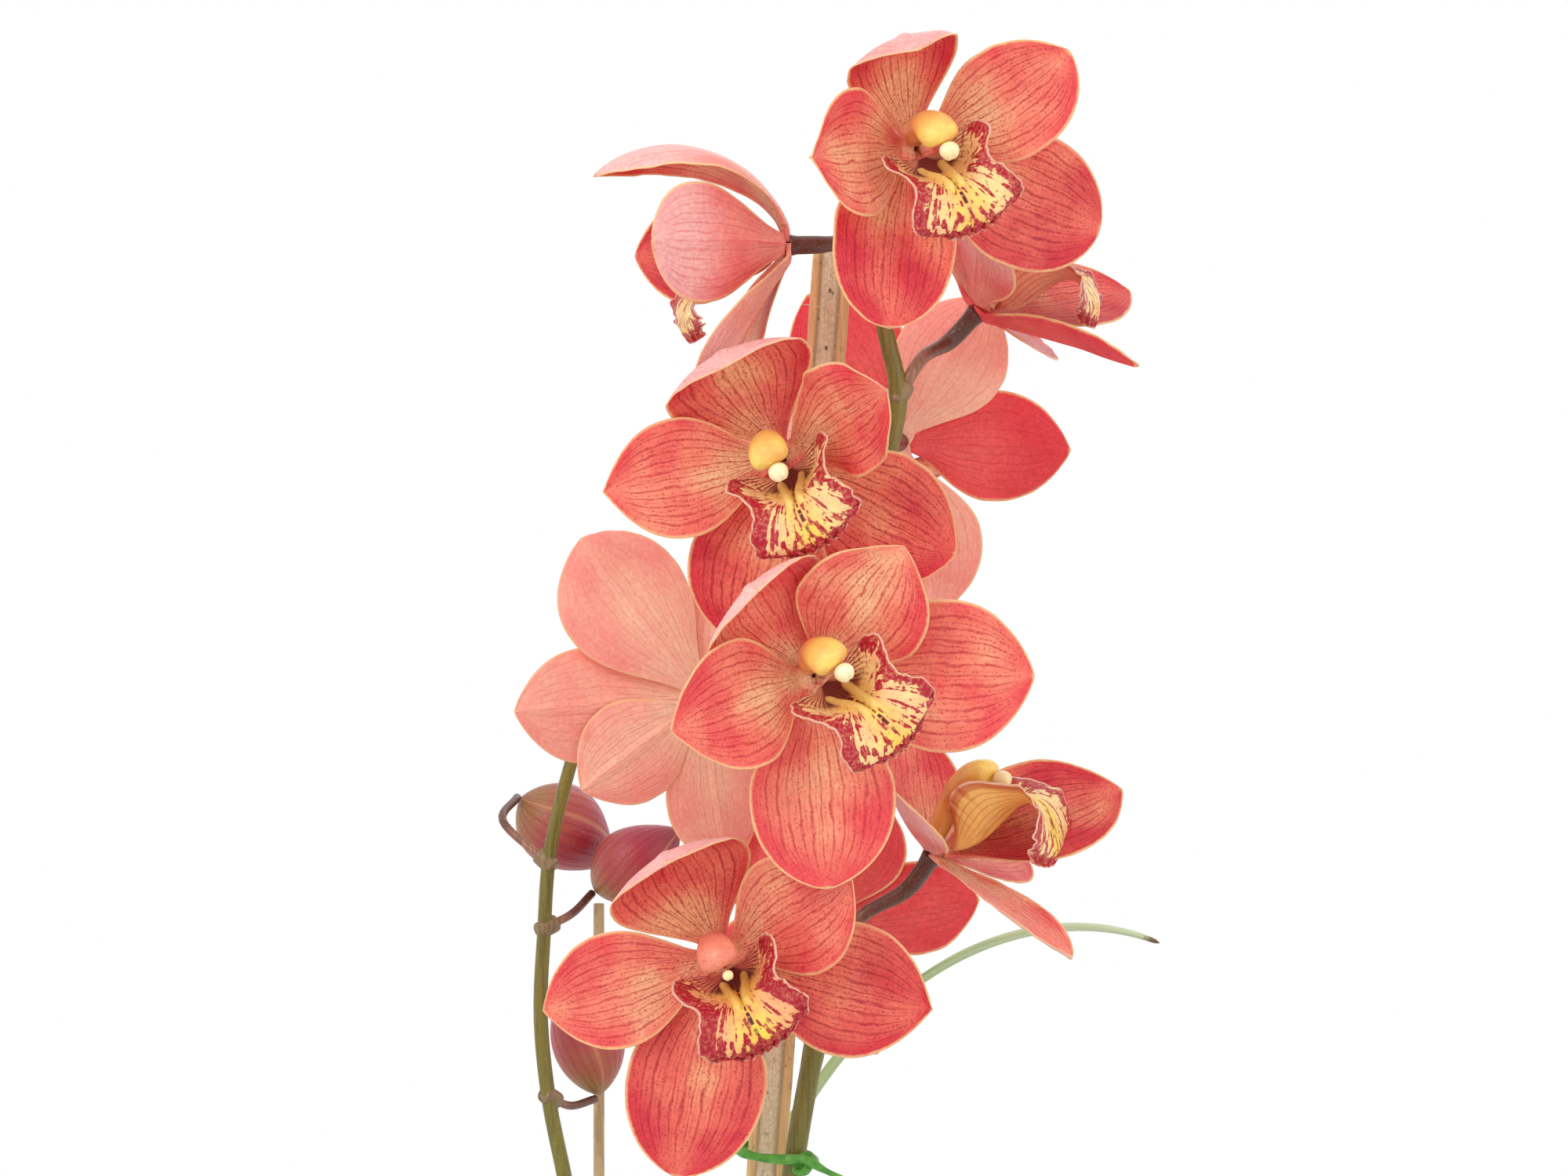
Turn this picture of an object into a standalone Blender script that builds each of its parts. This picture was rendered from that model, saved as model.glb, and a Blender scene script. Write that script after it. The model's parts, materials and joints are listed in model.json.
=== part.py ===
"""A potted boat orchid (Cymbidium): a round clay pot of bark mix, three pseudobulbs with strap
leaves, a flower spike tied to a split cane, and a second spike in bud on a thin cane behind it.

Metres, +Z up. The origin is the middle of the pot's flat underside. Lengths inside a flower are
millimetres in the flower's own frame: right, up (towards the dorsal sepal) and out (the way it faces).
"""

import math

import bmesh
import bpy
import numpy as np

# Driving dimensions, in metres.
POT_HEIGHT = 0.172
POT_RIM_RADIUS = 0.098
POT_FOOT_RADIUS = 0.069
POT_WALL = 0.006
RIM_HEIGHT = 0.030
MIX_TOP = 0.152
GAP = 0.0004  # clearance between pieces that touch

STAKE_FOOT = (-0.0160, 0.009, 0.040)
STAKE_TOP = (0.0350, 0.009, 0.7390)
STAKE_WIDTH = 0.0104
STAKE_DEPTH = 0.0066
CANE_RADIUS = 0.0016

STEM_RADIUS = 0.0033
PEDICEL_RADIUS = 0.0019

# Flower dimensions, in millimetres.
MM = 0.001
TEPAL_THICKNESS = 0.9
LIP_THICKNESS = 0.9
HUB_RADIUS = 4.2
CLAW_HALF_WIDTH = 2.9
SEPAL_STAND = 0.0
PETAL_STAND = 1.9

TEPAL_ROWS = np.array([0.0, 0.2, 0.42, 0.64, 0.84, 1.0])
TEPAL_COLUMNS = np.linspace(-1.0, 1.0, 5)

# What every tepal has unless its flower says otherwise. Angles are degrees: angle is the way it
# points round the flower, lift how far its base leans out, arch how far it bends on the way to
# the tip, cup how far each half curls out of flat, and sweep how far it bends sideways.
TEPAL = dict(length=48, width=32, lift=20, arch=-12, bend=1.0, cup=16, cup_tip=None, tilt=0, sweep=0,
             peak=0.52, point=0.85)
DORSAL = dict(TEPAL, angle=90, length=44, width=38, lift=16, arch=110, bend=1.9, cup=20, cup_tip=30)
LEFT_PETAL = dict(TEPAL, angle=165, width=30, lift=28, arch=-22, cup=18)
RIGHT_PETAL = dict(TEPAL, angle=15, width=30, lift=28, arch=-22, cup=18)
LEFT_SEPAL = dict(TEPAL, angle=229, length=54, width=36, lift=12, cup=14)
RIGHT_SEPAL = dict(TEPAL, angle=311, length=54, width=36, lift=12, cup=14)

# Each flower: where its hub is (metres), how far it is turned to the right, nods up and is rolled
# anticlockwise (degrees), where its stalk leaves the spike, and what sets its tepals apart.
FLOWERS = [
    dict(number=1, place=(0.0552, -0.0300, 0.7624), turn=14, nod=-2, roll=22, joint=10,
         dorsal=dict(angle=86, length=44, arch=125, width=31),
         left=dict(angle=166, length=37, width=33, lift=42, arch=-10, point=1.0),
         right=dict(angle=1, length=43, width=30, lift=38, sweep=25, point=0.7),
         low_left=dict(angle=226, length=46, width=33, lift=24, sweep=22, peak=0.45, point=0.5),
         low_right=dict(angle=312, length=50, width=36, lift=5, sweep=10, point=0.6)),
    dict(number=2, place=(0.0226, -0.0200, 0.7384), turn=-78, nod=-2, roll=0, joint=9,
         dorsal=dict(length=60, width=34, lift=20, arch=108, bend=1.0, cup=24, cup_tip=45),
         left=dict(angle=180, length=42, width=28, lift=48, arch=4),
         right=dict(angle=0, length=44, width=31, lift=58, arch=4, peak=0.6, point=0.7),
         low_left=dict(angle=240, length=48, width=28, lift=22, arch=-14),
         low_right=dict(angle=286, length=52, width=28, lift=38, arch=-8, tilt=30)),
    dict(number=3, place=(0.0733, 0.0100, 0.7234), turn=76, nod=46, roll=0, joint=7,
         lip_curl=30,
         dorsal=dict(angle=70, length=34, width=26, lift=14, arch=40, bend=1.0, cup=24),
         left=dict(angle=162, length=32, width=25, lift=34, arch=0, cup=24),
         right=dict(angle=-28, length=46, width=30, lift=36, arch=0),
         low_left=dict(angle=243, length=50, width=19, lift=28, arch=-8, cup=34, point=0.6),
         low_right=dict(angle=341, length=35, width=26, lift=4, arch=0)),
    dict(number=4, place=(0.0220, -0.0340, 0.6832), turn=-6, nod=-4, roll=28, joint=6,
         dorsal=dict(angle=88, length=46, width=41, lift=12, arch=125),
         left=dict(angle=162, length=43, width=31, lift=27, point=1.0),
         right=dict(angle=4, length=44, width=30, lift=40, arch=14, peak=0.5),
         low_left=dict(angle=229, length=45, width=36, point=0.75),
         low_right=dict(angle=298, length=46, width=35, lift=8, sweep=10, point=0.8)),
    dict(number=5, place=(0.0530, 0.0450, 0.6900), turn=172, nod=4, roll=32, joint=6,
         dorsal=dict(angle=90, length=42, lift=10, arch=0, bend=1.0, width=32),
         left=dict(angle=152, length=44, width=31),
         right=dict(angle=25, length=45, width=34, lift=24),
         low_left=dict(angle=229, length=46),
         low_right=dict(angle=311, length=46)),
    dict(number=6, place=(0.0004, 0.0320, 0.6206), turn=-158, nod=0, roll=-32, joint=5,
         via=[(0.0415, 0.0100, 0.6410), (0.0300, 0.0190, 0.6350)],
         dorsal=dict(angle=85, length=50, lift=8, arch=0, bend=1.0, width=38, peak=0.58, point=0.7),
         left=dict(angle=154, length=42, lift=24),
         right=dict(angle=28, length=47, width=32, lift=22),
         low_left=dict(angle=288, length=45, width=29, lift=20),
         low_right=dict(angle=354, length=37, width=29, lift=14, arch=0)),
    dict(number=7, place=(0.0292, -0.0430, 0.6285), turn=12, nod=-2, roll=38, joint=4,
         lip_turn=11, lip_nod=3, lip_roll=4,
         dorsal=dict(angle=95, length=44, width=39, arch=98, cup=8),
         left=dict(angle=159, length=44, width=33, lift=40, point=1.0, peak=0.48),
         right=dict(angle=22, length=38, width=35, lift=38, peak=0.46, point=0.95),
         low_left=dict(angle=235, length=50, width=38, point=0.65, peak=0.52),
         low_right=dict(angle=322, length=52, width=39, lift=20, peak=0.55, point=0.80)),
    dict(number=8, place=(0.0609, -0.0080, 0.5812), turn=58, nod=50, roll=0, joint=2,
         lip_nod=6, lip_size=1.15, lip_curl=40,
         dorsal=dict(angle=60, length=40, width=30, lift=6, arch=26, bend=1.0, cup=20),
         left=dict(angle=172, length=34, width=26, lift=24, arch=10, cup=30),
         right=dict(angle=-23, length=50, width=38, lift=41, arch=0),
         low_left=dict(angle=267, length=45, width=22, lift=13, arch=-6, cup=24),
         low_right=dict(angle=350, length=34, width=26, lift=4, arch=0)),
    dict(number=9, place=(0.0065, -0.0260, 0.5559), turn=0, nod=0, roll=28, joint=1,
         dorsal=dict(angle=90, length=46, width=40, arch=105),
         left=dict(angle=168, length=44, width=30, lift=18, peak=0.55, point=0.95),
         right=dict(angle=5, length=38, width=33, lift=34),
         low_left=dict(angle=230, length=53, width=36, point=0.65),
         low_right=dict(angle=318, length=51, width=35, lift=8, peak=0.55, point=0.95)),
    dict(number=10, place=(0.0330, 0.0400, 0.5590), turn=168, nod=6, roll=20, joint=2,
         dorsal=dict(angle=92, length=34, lift=10, arch=10, bend=1.0, width=28),
         left=dict(angle=152, length=38, width=26, lift=14, arch=0),
         right=dict(angle=14, length=36, width=26),
         low_left=dict(angle=232, length=36, width=28, lift=20),
         low_right=dict(angle=308, length=36, width=28, lift=20)),
]

# The lip, from its claw (0) to the end of the mid-lobe (1): the middle line's up and out in
# millimetres, the half width along the surface, and how far each half wraps round the column.
LIP_ALONG = np.array([0.0, 0.12, 0.26, 0.38, 0.46, 0.52, 0.58, 0.66, 0.76, 0.88, 1.0])
LIP_UP = np.array([-3.4, -6.0, -8.0, -9.0, -9.7, -10.5, -11.6, -14.0, -17.7, -21.5, -24.4])
LIP_OUT = np.array([3.4, 6.4, 11.0, 15.6, 18.7, 21.0, 23.2, 25.6, 27.3, 27.3, 25.0])
LIP_HALF_WIDTH = np.array([2.4, 8.6, 14.6, 17.0, 16.2, 12.2, 10.9, 13.6, 15.0, 12.8, 6.8])
LIP_WRAP = np.array([30.0, 80.0, 88.0, 84.0, 74.0, 62.0, 44.0, 20.0, -2.0, -22.0, -30.0])
LIP_COLUMNS = np.linspace(-1.0, 1.0, 7)
LIP_FOLD = 0.5  # where the mid-lobe of a curled lip starts to bend

# The column, from its foot to the anther cap: up, out and radius in millimetres.
COLUMN_UP = np.array([2.0, 3.4, 4.6, 4.9, 3.6, 1.2, -1.2])
COLUMN_OUT = np.array([3.6, 8.0, 13.0, 18.5, 23.5, 27.0, 28.4])
COLUMN_RADIUS = np.array([2.2, 3.0, 3.4, 3.9, 4.5, 4.1, 2.9])

# The spikes, from the mix to the tip, in metres.
STEM_PATH = [(0.0060, -0.002, 0.135), (0.0075, -0.002, 0.240), (0.0120, -0.002, 0.350),
             (0.0190, -0.002, 0.445), (0.0247, -0.002, 0.500), (0.0302, -0.002, 0.531),
             (0.0347, -0.002, 0.552), (0.0374, -0.002, 0.578), (0.0405, -0.002, 0.619),
             (0.0425, -0.002, 0.659), (0.0482, -0.002, 0.681), (0.0519, -0.002, 0.700),
             (0.0482, -0.002, 0.719), (0.0466, -0.003, 0.736), (0.0480, -0.008, 0.749)]
# Where each joint of the spike is, as a place in STEM_PATH; joint 10 is the tip.
JOINTS = {1: 5, 2: 6, 4: 8, 5: 8.6, 6: 10, 7: 11, 9: 13, 10: 14}

BACK_PATH = [(-0.019, 0.050, 0.135), (-0.021, 0.064, 0.250), (-0.026, 0.090, 0.380),
             (-0.0405, 0.106, 0.480), (-0.0456, 0.110, 0.504), (-0.0478, 0.110, 0.526),
             (-0.0468, 0.110, 0.5525), (-0.0456, 0.110, 0.571), (-0.0377, 0.110, 0.605),
             (-0.026, 0.108, 0.642)]
BACK_STALKS = [(7, (-0.0592, 0.118, 0.5828), (-0.0560, 0.1340, 0.5888)),
               (6, (-0.0400, 0.116, 0.5555), (-0.0338, 0.1268, 0.5612)),
               (4, (-0.0400, 0.118, 0.5005), (-0.0330, 0.1282, 0.5012))]
CANE_FOOT = (-0.0290, 0.062, 0.090)
CANE_TOP = (-0.0331, 0.1564, 0.5560)

# Buds: foot, tip, greatest radius, in metres.
BUDS = [((-0.0551, 0.1355, 0.5884), (-0.0290, 0.1500, 0.5690), 0.0125),
        ((-0.0329, 0.1280, 0.5619), (-0.0080, 0.1240, 0.5800), 0.0110),
        ((-0.0318, 0.1295, 0.5024), (-0.0400, 0.1350, 0.5400), 0.0105)]

# Pseudobulbs: middle, greatest radius, height, in metres.
BULBS = [((0.038, -0.010, 0.168), 0.026, 0.085),
         ((-0.040, -0.020, 0.166), 0.024, 0.078),
         ((0.014, 0.056, 0.164), 0.023, 0.074)]

# Leaves: which bulb, heading (degrees, 0 is +X), length, width, how steeply the foot rises and
# how far the leaf has bent over by its tip (degrees), how late along it it bends, and how far it
# turns aside on the way (degrees).
LEAF = dict(width=0.026, rise=80, droop=105, late=1.5, veer=0)
LEAVES = [dict(LEAF, bulb=0, heading=-42, length=0.41),
          dict(LEAF, bulb=0, heading=55, length=0.385, rise=82, droop=98),
          dict(LEAF, bulb=1, heading=225, length=0.41, rise=78, droop=110),
          dict(LEAF, bulb=1, heading=130, length=0.40, width=0.025),
          dict(LEAF, bulb=1, heading=325, length=0.36, width=0.024, rise=72, droop=120),
          dict(LEAF, bulb=2, heading=300, length=0.40, width=0.024),
          dict(LEAF, bulb=2, heading=86, length=0.423, width=0.014, rise=85, droop=105, late=4, veer=-99)]
LEAF_ROWS = 12


def clear_scene():
    for thing in list(bpy.data.objects):
        bpy.data.objects.remove(thing, do_unlink=True)


def new_collection(name, hidden=False):
    made = bpy.data.collections.new(name)
    bpy.context.scene.collection.children.link(made)
    made.hide_render = hidden
    return made


def material(name, colour, roughness, metallic=0.0):
    made = bpy.data.materials.new(name)
    made.use_nodes = True
    shader = made.node_tree.nodes["Principled BSDF"]
    shader.inputs["Base Color"].default_value = (*colour, 1.0)
    shader.inputs["Roughness"].default_value = roughness
    shader.inputs["Metallic"].default_value = metallic
    return made


def add_object(name, data, finish, home):
    made = bpy.data.objects.new(name, data)
    home.objects.link(made)
    if finish is not None:
        data.materials.append(finish)
    return made


def mesh_of(name, points, faces):
    mesh = bpy.data.meshes.new(name)
    mesh.from_pydata([tuple(p) for p in points], [], faces)
    mesh.validate()
    return mesh


def cutter(made, home):
    """Moves an object among the cutters, which are drawn as wires and not rendered."""
    for old in list(made.users_collection):
        old.objects.unlink(made)
    home.objects.link(made)
    made.hide_render = True
    made.display_type = "WIRE"
    return made


def cut(target, tool, operation="DIFFERENCE"):
    modifier = target.modifiers.new(operation.lower() + "_" + tool.name, "BOOLEAN")
    modifier.operation = operation
    modifier.object = tool
    return modifier


def turned(name, profile, steps, finish, home):
    """A turned shape: a profile at +X, top to bottom on its outer side, spun about Z."""
    points = [(radius, 0.0, height) for radius, height in profile]
    edges = [(i, i + 1) for i in range(len(points) - 1)]
    mesh = bpy.data.meshes.new(name)
    mesh.from_pydata(points, edges, [])
    made = add_object(name, mesh, finish, home)
    screw = made.modifiers.new("turn", "SCREW")
    screw.steps = steps
    screw.render_steps = steps
    screw.use_merge_vertices = True
    screw.merge_threshold = 0.00005
    screw.use_smooth_shade = True
    return made


def tube(name, points, radii, finish, home, resolution=1):
    """A round stem along straight runs between points, with its own radius at each."""
    curve = bpy.data.curves.new(name, "CURVE")
    curve.dimensions = "3D"
    curve.bevel_depth = 1.0
    curve.bevel_resolution = resolution
    curve.use_fill_caps = True
    spline = curve.splines.new("POLY")
    spline.points.add(len(points) - 1)
    for spot, place, radius in zip(spline.points, points, radii):
        spot.co = (*place, 1.0)
        spot.radius = radius
    return add_object(name, curve, finish, home)


def as_mesh(made, home, finish):
    """The curve's evaluated mesh as an object of its own, its caps welded; the curve is removed."""
    bpy.context.view_layer.update()
    evaluated = made.evaluated_get(bpy.context.evaluated_depsgraph_get())
    mesh = bpy.data.meshes.new_from_object(evaluated)
    cage = bmesh.new()
    cage.from_mesh(mesh)
    bmesh.ops.remove_doubles(cage, verts=cage.verts, dist=0.00001)
    bmesh.ops.recalc_face_normals(cage, faces=cage.faces)
    cage.to_mesh(mesh)
    cage.free()
    mesh.shade_smooth()
    name = made.name
    matrix = made.matrix_world.copy()
    bpy.data.objects.remove(made, do_unlink=True)
    solid = add_object(name, mesh, None, home)
    solid.matrix_world = matrix
    mesh.materials.clear()
    if finish is not None:
        mesh.materials.append(finish)
    return solid


def smooth_path(points, per_run):
    """A Catmull-Rom curve through the points, with this many runs between each two of them."""
    p = np.array(points, float)
    p = np.vstack([2 * p[0] - p[1], p, 2 * p[-1] - p[-2]])
    t = np.linspace(0, 1, per_run, endpoint=False)[:, None]
    runs = [0.5 * (2 * b + (c - a) * t + (2 * a - 5 * b + 4 * c - d) * t**2 + (3 * b - a - 3 * c + d) * t**3)
            for a, b, c, d in zip(p[:-3], p[1:-2], p[2:-1], p[3:])]
    return np.vstack(runs + [p[-2:-1]])


def shell_object(name, points, faces, thickness, finish, home):
    """An open surface given a wall by Solidify, half of it on each side."""
    mesh = mesh_of(name, points, faces)
    mesh.shade_smooth()
    made = add_object(name, mesh, finish, home)
    wall = made.modifiers.new("wall", "SOLIDIFY")
    wall.thickness = thickness
    wall.offset = 0.0
    return made


# ---- Pot, mix and stake


def make_pot(home, cutters, finish):
    """A tapered clay pot with a deeper band round its rim, a flat floor and three drain holes."""
    lip = POT_HEIGHT - RIM_HEIGHT
    body = POT_RIM_RADIUS - 0.006
    profile = [(POT_RIM_RADIUS - POT_WALL - 0.002, POT_HEIGHT), (POT_RIM_RADIUS - 0.002, POT_HEIGHT),
               (POT_RIM_RADIUS, POT_HEIGHT - 0.003), (POT_RIM_RADIUS - 0.002, lip), (body, lip - 0.002),
               (POT_FOOT_RADIUS + 0.001, 0.003), (POT_FOOT_RADIUS - 0.001, 0.0), (0.0, 0.0)]
    inner = [(0.0, 0.008), (POT_FOOT_RADIUS - POT_WALL, 0.008), (body - POT_WALL, lip - 0.002),
             (POT_RIM_RADIUS - POT_WALL - 0.002, POT_HEIGHT)]
    pot = turned("pot", profile + inner, 40, finish, home)
    for i in range(3):
        angle = math.radians(90 + 120 * i)
        place = (0.040 * math.cos(angle), 0.040 * math.sin(angle), 0.004)
        bpy.ops.mesh.primitive_cylinder_add(vertices=16, radius=0.006, depth=0.03, location=place)
        hole = bpy.context.object
        hole.name = f"drain_cutter_{i + 1}"
        cut(pot, cutter(hole, cutters))
    return pot


def make_mix(home, finish):
    """The bark mix fills the pot to just under its rim and is mounded a little in the middle."""
    lip = POT_HEIGHT - RIM_HEIGHT
    wall = POT_RIM_RADIUS - 0.006 - POT_WALL
    slope = (wall - (POT_FOOT_RADIUS - POT_WALL)) / (lip - 0.010)
    top_radius = wall - GAP
    foot_radius = POT_FOOT_RADIUS - POT_WALL - GAP + slope * GAP
    profile = [(0.0, MIX_TOP + 0.007), (0.030, MIX_TOP + 0.006), (0.060, MIX_TOP + 0.003),
               (top_radius - 0.004, MIX_TOP - 0.002), (top_radius, MIX_TOP - 0.012),
               (foot_radius, 0.008 + GAP), (0.0, 0.008 + GAP)]
    return turned("potting_mix", profile, 32, finish, home)


def along(a, b, share):
    return tuple(p + (q - p) * share for p, q in zip(a, b))


def bar(name, foot, top, width, depth, finish, home, grow=0.0):
    """A straight square bar from foot to top, grown on every side by the clearance asked for."""
    length = math.dist(foot, top) + 2 * grow
    bpy.ops.mesh.primitive_cube_add(size=1.0, location=along(foot, top, 0.5))
    made = bpy.context.object
    made.name = name
    made.scale = (width + 2 * grow, depth + 2 * grow, length)
    lean = math.atan2(top[0] - foot[0], top[2] - foot[2])
    made.rotation_euler = (0.0, lean, 0.0)
    bpy.ops.object.transform_apply(location=False, rotation=False, scale=True)
    for old in list(made.users_collection):
        old.objects.unlink(made)
    home.objects.link(made)
    if finish is not None:
        made.data.materials.append(finish)
    return made


def make_stake(home, finish):
    stake = bar("stake", STAKE_FOOT, STAKE_TOP, STAKE_WIDTH, STAKE_DEPTH, finish, home)
    edge = stake.modifiers.new("edge", "BEVEL")
    edge.width = 0.0012
    edge.segments = 1
    return stake


def make_tie(home, finish):
    """A soft garden tie: a flat oval loop round the stake and the stem, twisted together in
    front, with one long loose end."""
    height = 0.5015
    share = (height - STAKE_FOOT[2]) / (STAKE_TOP[2] - STAKE_FOOT[2])
    stake_x = STAKE_FOOT[0] + (STAKE_TOP[0] - STAKE_FOOT[0]) * share
    left = stake_x - STAKE_WIDTH / 2 - 0.0036
    right = 0.0250 + STEM_RADIUS + 0.0020
    middle = 0.5 * (left + right)
    half = 0.5 * (right - left)
    back = 0.5 * (0.009 - 0.002) + 0.0040
    turns = 20
    front = math.radians(-62)
    around = [front + 2 * math.pi * (i / turns) * 0.94 for i in range(turns + 1)]
    loop = [(middle + half * math.copysign(abs(math.cos(a)) ** 0.6, math.cos(a)),
             0.0034 + (back + 0.0030) * math.copysign(abs(math.sin(a)) ** 0.6, math.sin(a)),
             height - 0.0022 * math.cos(a)) for a in around]
    end = loop[-1]
    tail = [(end[0] + 0.0045, end[1] - 0.0028, end[2] + 0.0006),
            (end[0] + 0.0100, end[1] - 0.0036, end[2] - 0.0022),
            (end[0] + 0.0170, end[1] - 0.0030, end[2] - 0.0056)]
    path = loop + tail
    radii = [0.0011] * len(loop) + [0.0013, 0.0009, 0.0006]
    return tube("stake_tie", path, radii, finish, home, resolution=1)


# ---- Stems


def stem_place(joint):
    """A place on the spike's path, counted in its points; parts of a step lie between two."""
    whole = min(int(joint), len(STEM_PATH) - 2)
    return np.array(STEM_PATH[whole]) + (joint - whole) * (np.array(STEM_PATH[whole + 1]) - STEM_PATH[whole])


def make_spike(home, finish):
    """The main spike: a jointed stem, a little swollen at each node, with a stalk to each flower,
    all grown as one piece."""
    path = smooth_path(STEM_PATH, 2)
    share = np.linspace(0, 1, len(path))
    radii = STEM_RADIUS * (1.12 - 0.45 * share)
    spike = as_mesh(tube("flower_spike", path, radii, None, home), home, finish)
    for flower in FLOWERS:
        axes = flower_axes(flower)
        hub = np.array(flower["place"])
        end = hub - axes[:, 2] * 1.2 * MM
        start = stem_place(JOINTS[flower["joint"]])
        reach = np.linalg.norm(end - start)
        bend = end - axes[:, 2] * 0.30 * reach
        lift = start + (end - start) * 0.28 + np.array([0, 0, 0.10 * reach])
        if flower["joint"] == 10:
            lift = start + (end - start) * 0.4
        points = smooth_path([start, *flower.get("via", [lift]), bend, end], 2)
        radii = np.linspace(PEDICEL_RADIUS * 0.9, PEDICEL_RADIUS * 1.35, len(points))
        stalk = as_mesh(tube(f"stalk_{flower['number']}", points, radii, None, home), home, None)
        spike = union(spike, stalk)
    return spike


def union(first, second):
    """The first object with the second joined to it; the second is removed."""
    modifier = cut(first, second, "UNION")
    bpy.context.view_layer.update()
    evaluated = first.evaluated_get(bpy.context.evaluated_depsgraph_get())
    mesh = bpy.data.meshes.new_from_object(evaluated)
    first.modifiers.remove(modifier)
    old = first.data
    first.data = mesh
    mesh.name = first.name
    bpy.data.meshes.remove(old)
    bpy.data.objects.remove(second, do_unlink=True)
    return first


def make_back_spike(home, finish):
    """The second spike, thinner, with three short stalks that carry buds."""
    path = smooth_path(BACK_PATH, 2)
    radii = np.linspace(0.0030, 0.0018, len(path))
    spike = as_mesh(tube("back_spike", path, radii, None, home), home, finish)
    for number, (joint, middle, end) in enumerate(BACK_STALKS):
        points = smooth_path([BACK_PATH[joint], middle, end], 2)
        stalk = as_mesh(tube(f"back_stalk_{number}", points, [0.0012] * len(points), None, home), home, None)
        spike = union(spike, stalk)
    return spike


def make_bud(number, foot, tip, radius, home, finish):
    """A closed bud: a fat spindle, narrow at its foot and pointed at its tip."""
    share = np.linspace(0, 1, 8)
    swell = np.sin(np.pi * share**0.8) ** 0.8
    radii = np.maximum(radius * swell, 0.0008)
    foot, tip = np.array(foot), np.array(tip)
    bow = np.array([0.0, -0.002, 0.0])
    points = [foot + (tip - foot) * s + bow * math.sin(math.pi * s) for s in share]
    return as_mesh(tube(f"bud_{number}", points, radii, None, home, resolution=2), home, finish)


# ---- Pseudobulbs and leaves


def bulb_profile(radius, height, grow=0.0):
    """A squat flask, flattened below and drawn in to a neck above, in a frame centred on it."""
    shape = [(0.0, 0.56), (0.16, 0.55), (0.30, 0.44), (0.62, 0.24), (0.92, 0.02), (1.0, -0.14),
             (0.88, -0.32), (0.55, -0.44), (0.0, -0.48)]
    return [(r * radius + (grow if r > 0 else 0.0), h * height + math.copysign(grow, h)) for r, h in shape]


def make_bulb(number, place, radius, height, home, cutters, finish):
    bulb = turned(f"pseudobulb_{number}", bulb_profile(radius, height), 14, finish, home)
    bulb.location = place
    room = turned(f"bulb_room_{number}", bulb_profile(radius, height, GAP * 1.5), 14, None, cutters)
    room.location = place
    cutter(room, cutters)
    return bulb, room


def step_up(x, low, high):
    """0 below low, 1 above high and a smooth step between."""
    t = np.clip((x - low) / (high - low), 0, 1)
    return t * t * (3 - 2 * t)


def leaf_points(leaf):
    """A leaf's surface: its middle line leaves the bulb's neck at the rise angle, bends over by the
    droop angle and turns aside by the veer angle; across it is a shallow V whose edges stand above
    the middle line."""
    (x, y, z), radius, height = BULBS[leaf["bulb"]]
    steps = 120
    share = np.linspace(0, 1, steps + 1)
    slope = np.radians(leaf["rise"] - leaf["droop"] * share ** leaf["late"])
    heading = np.radians(leaf["heading"] + leaf["veer"] * step_up(share, 0.60, 0.75))
    level = np.stack([np.cos(heading), np.sin(heading), 0 * heading], axis=1)
    forward = np.cos(slope)[:, None] * level + np.sin(slope)[:, None] * np.array([0.0, 0.0, 1.0])
    run = leaf["length"] / steps
    line = np.vstack([np.zeros(3), np.cumsum(0.5 * (forward[1:] + forward[:-1]) * run, axis=0)])
    foot = np.array([x, y, z + 0.57 * height + GAP + 0.0006])
    foot = foot + 0.0072 * np.array([math.cos(heading[0]), math.sin(heading[0]), 0.0])
    rows = np.linspace(0, 1, LEAF_ROWS)
    middle_line = foot + np.stack([np.interp(rows, share, line[:, i]) for i in range(3)], axis=1)
    slope, heading = np.interp(rows, share, slope), np.interp(rows, share, heading)
    aside = np.stack([-np.sin(heading), np.cos(heading), 0 * heading], axis=1)
    level = np.stack([np.cos(heading), np.sin(heading), 0 * heading], axis=1)
    normal = np.cos(slope)[:, None] * np.array([0.0, 0.0, 1.0]) - np.sin(slope)[:, None] * level
    half = 0.5 * leaf["width"] * np.minimum(1.0, 0.45 + 1.3 * rows) * np.sqrt(np.clip(1 - rows**5, 0, 1))
    half[-1] = 0.0
    across, edge_lift = half[:, None] * aside, 0.30 * half[:, None] * normal
    return middle_line, middle_line + across + edge_lift, middle_line - across + edge_lift


def make_leaf(number, leaf, home, finish):
    middle, left, right = leaf_points(leaf)
    last = LEAF_ROWS - 1
    points = np.vstack([middle, left[:last], right[:last]])
    faces = []
    for i in range(last):
        m0, m1 = i, i + 1
        l0, l1 = LEAF_ROWS + i, LEAF_ROWS + i + 1
        r0, r1 = l0 + last, l1 + last
        if i < last - 1:
            faces += [(m0, m1, l1, l0), (m1, m0, r0, r1)]
        else:
            faces += [(m0, m1, l0), (m1, m0, r0)]
    return shell_object(f"leaf_{number}", points, faces, 0.0011, finish, home)


# ---- Flowers


def flower_axes(flower):
    """The flower's right, up and out as the columns of a matrix."""
    turn, nod, roll = (math.radians(flower[key]) for key in ("turn", "nod", "roll"))
    out = np.array([math.sin(turn) * math.cos(nod), -math.cos(turn) * math.cos(nod), math.sin(nod)])
    level = np.cross([0.0, 0.0, 1.0], out)
    level /= np.linalg.norm(level)
    upright = np.cross(out, level)
    right = math.cos(roll) * level + math.sin(roll) * upright
    up = math.cos(roll) * upright - math.sin(roll) * level
    return np.stack([right, up, out], axis=1)


def lip_axes(flower):
    """Axes of the lip, turned a little further than the flower's where one faces aside."""
    extra = {key: flower[key] + flower.get("lip_" + key, 0) for key in ("turn", "nod", "roll")}
    return flower_axes(extra)


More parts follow.
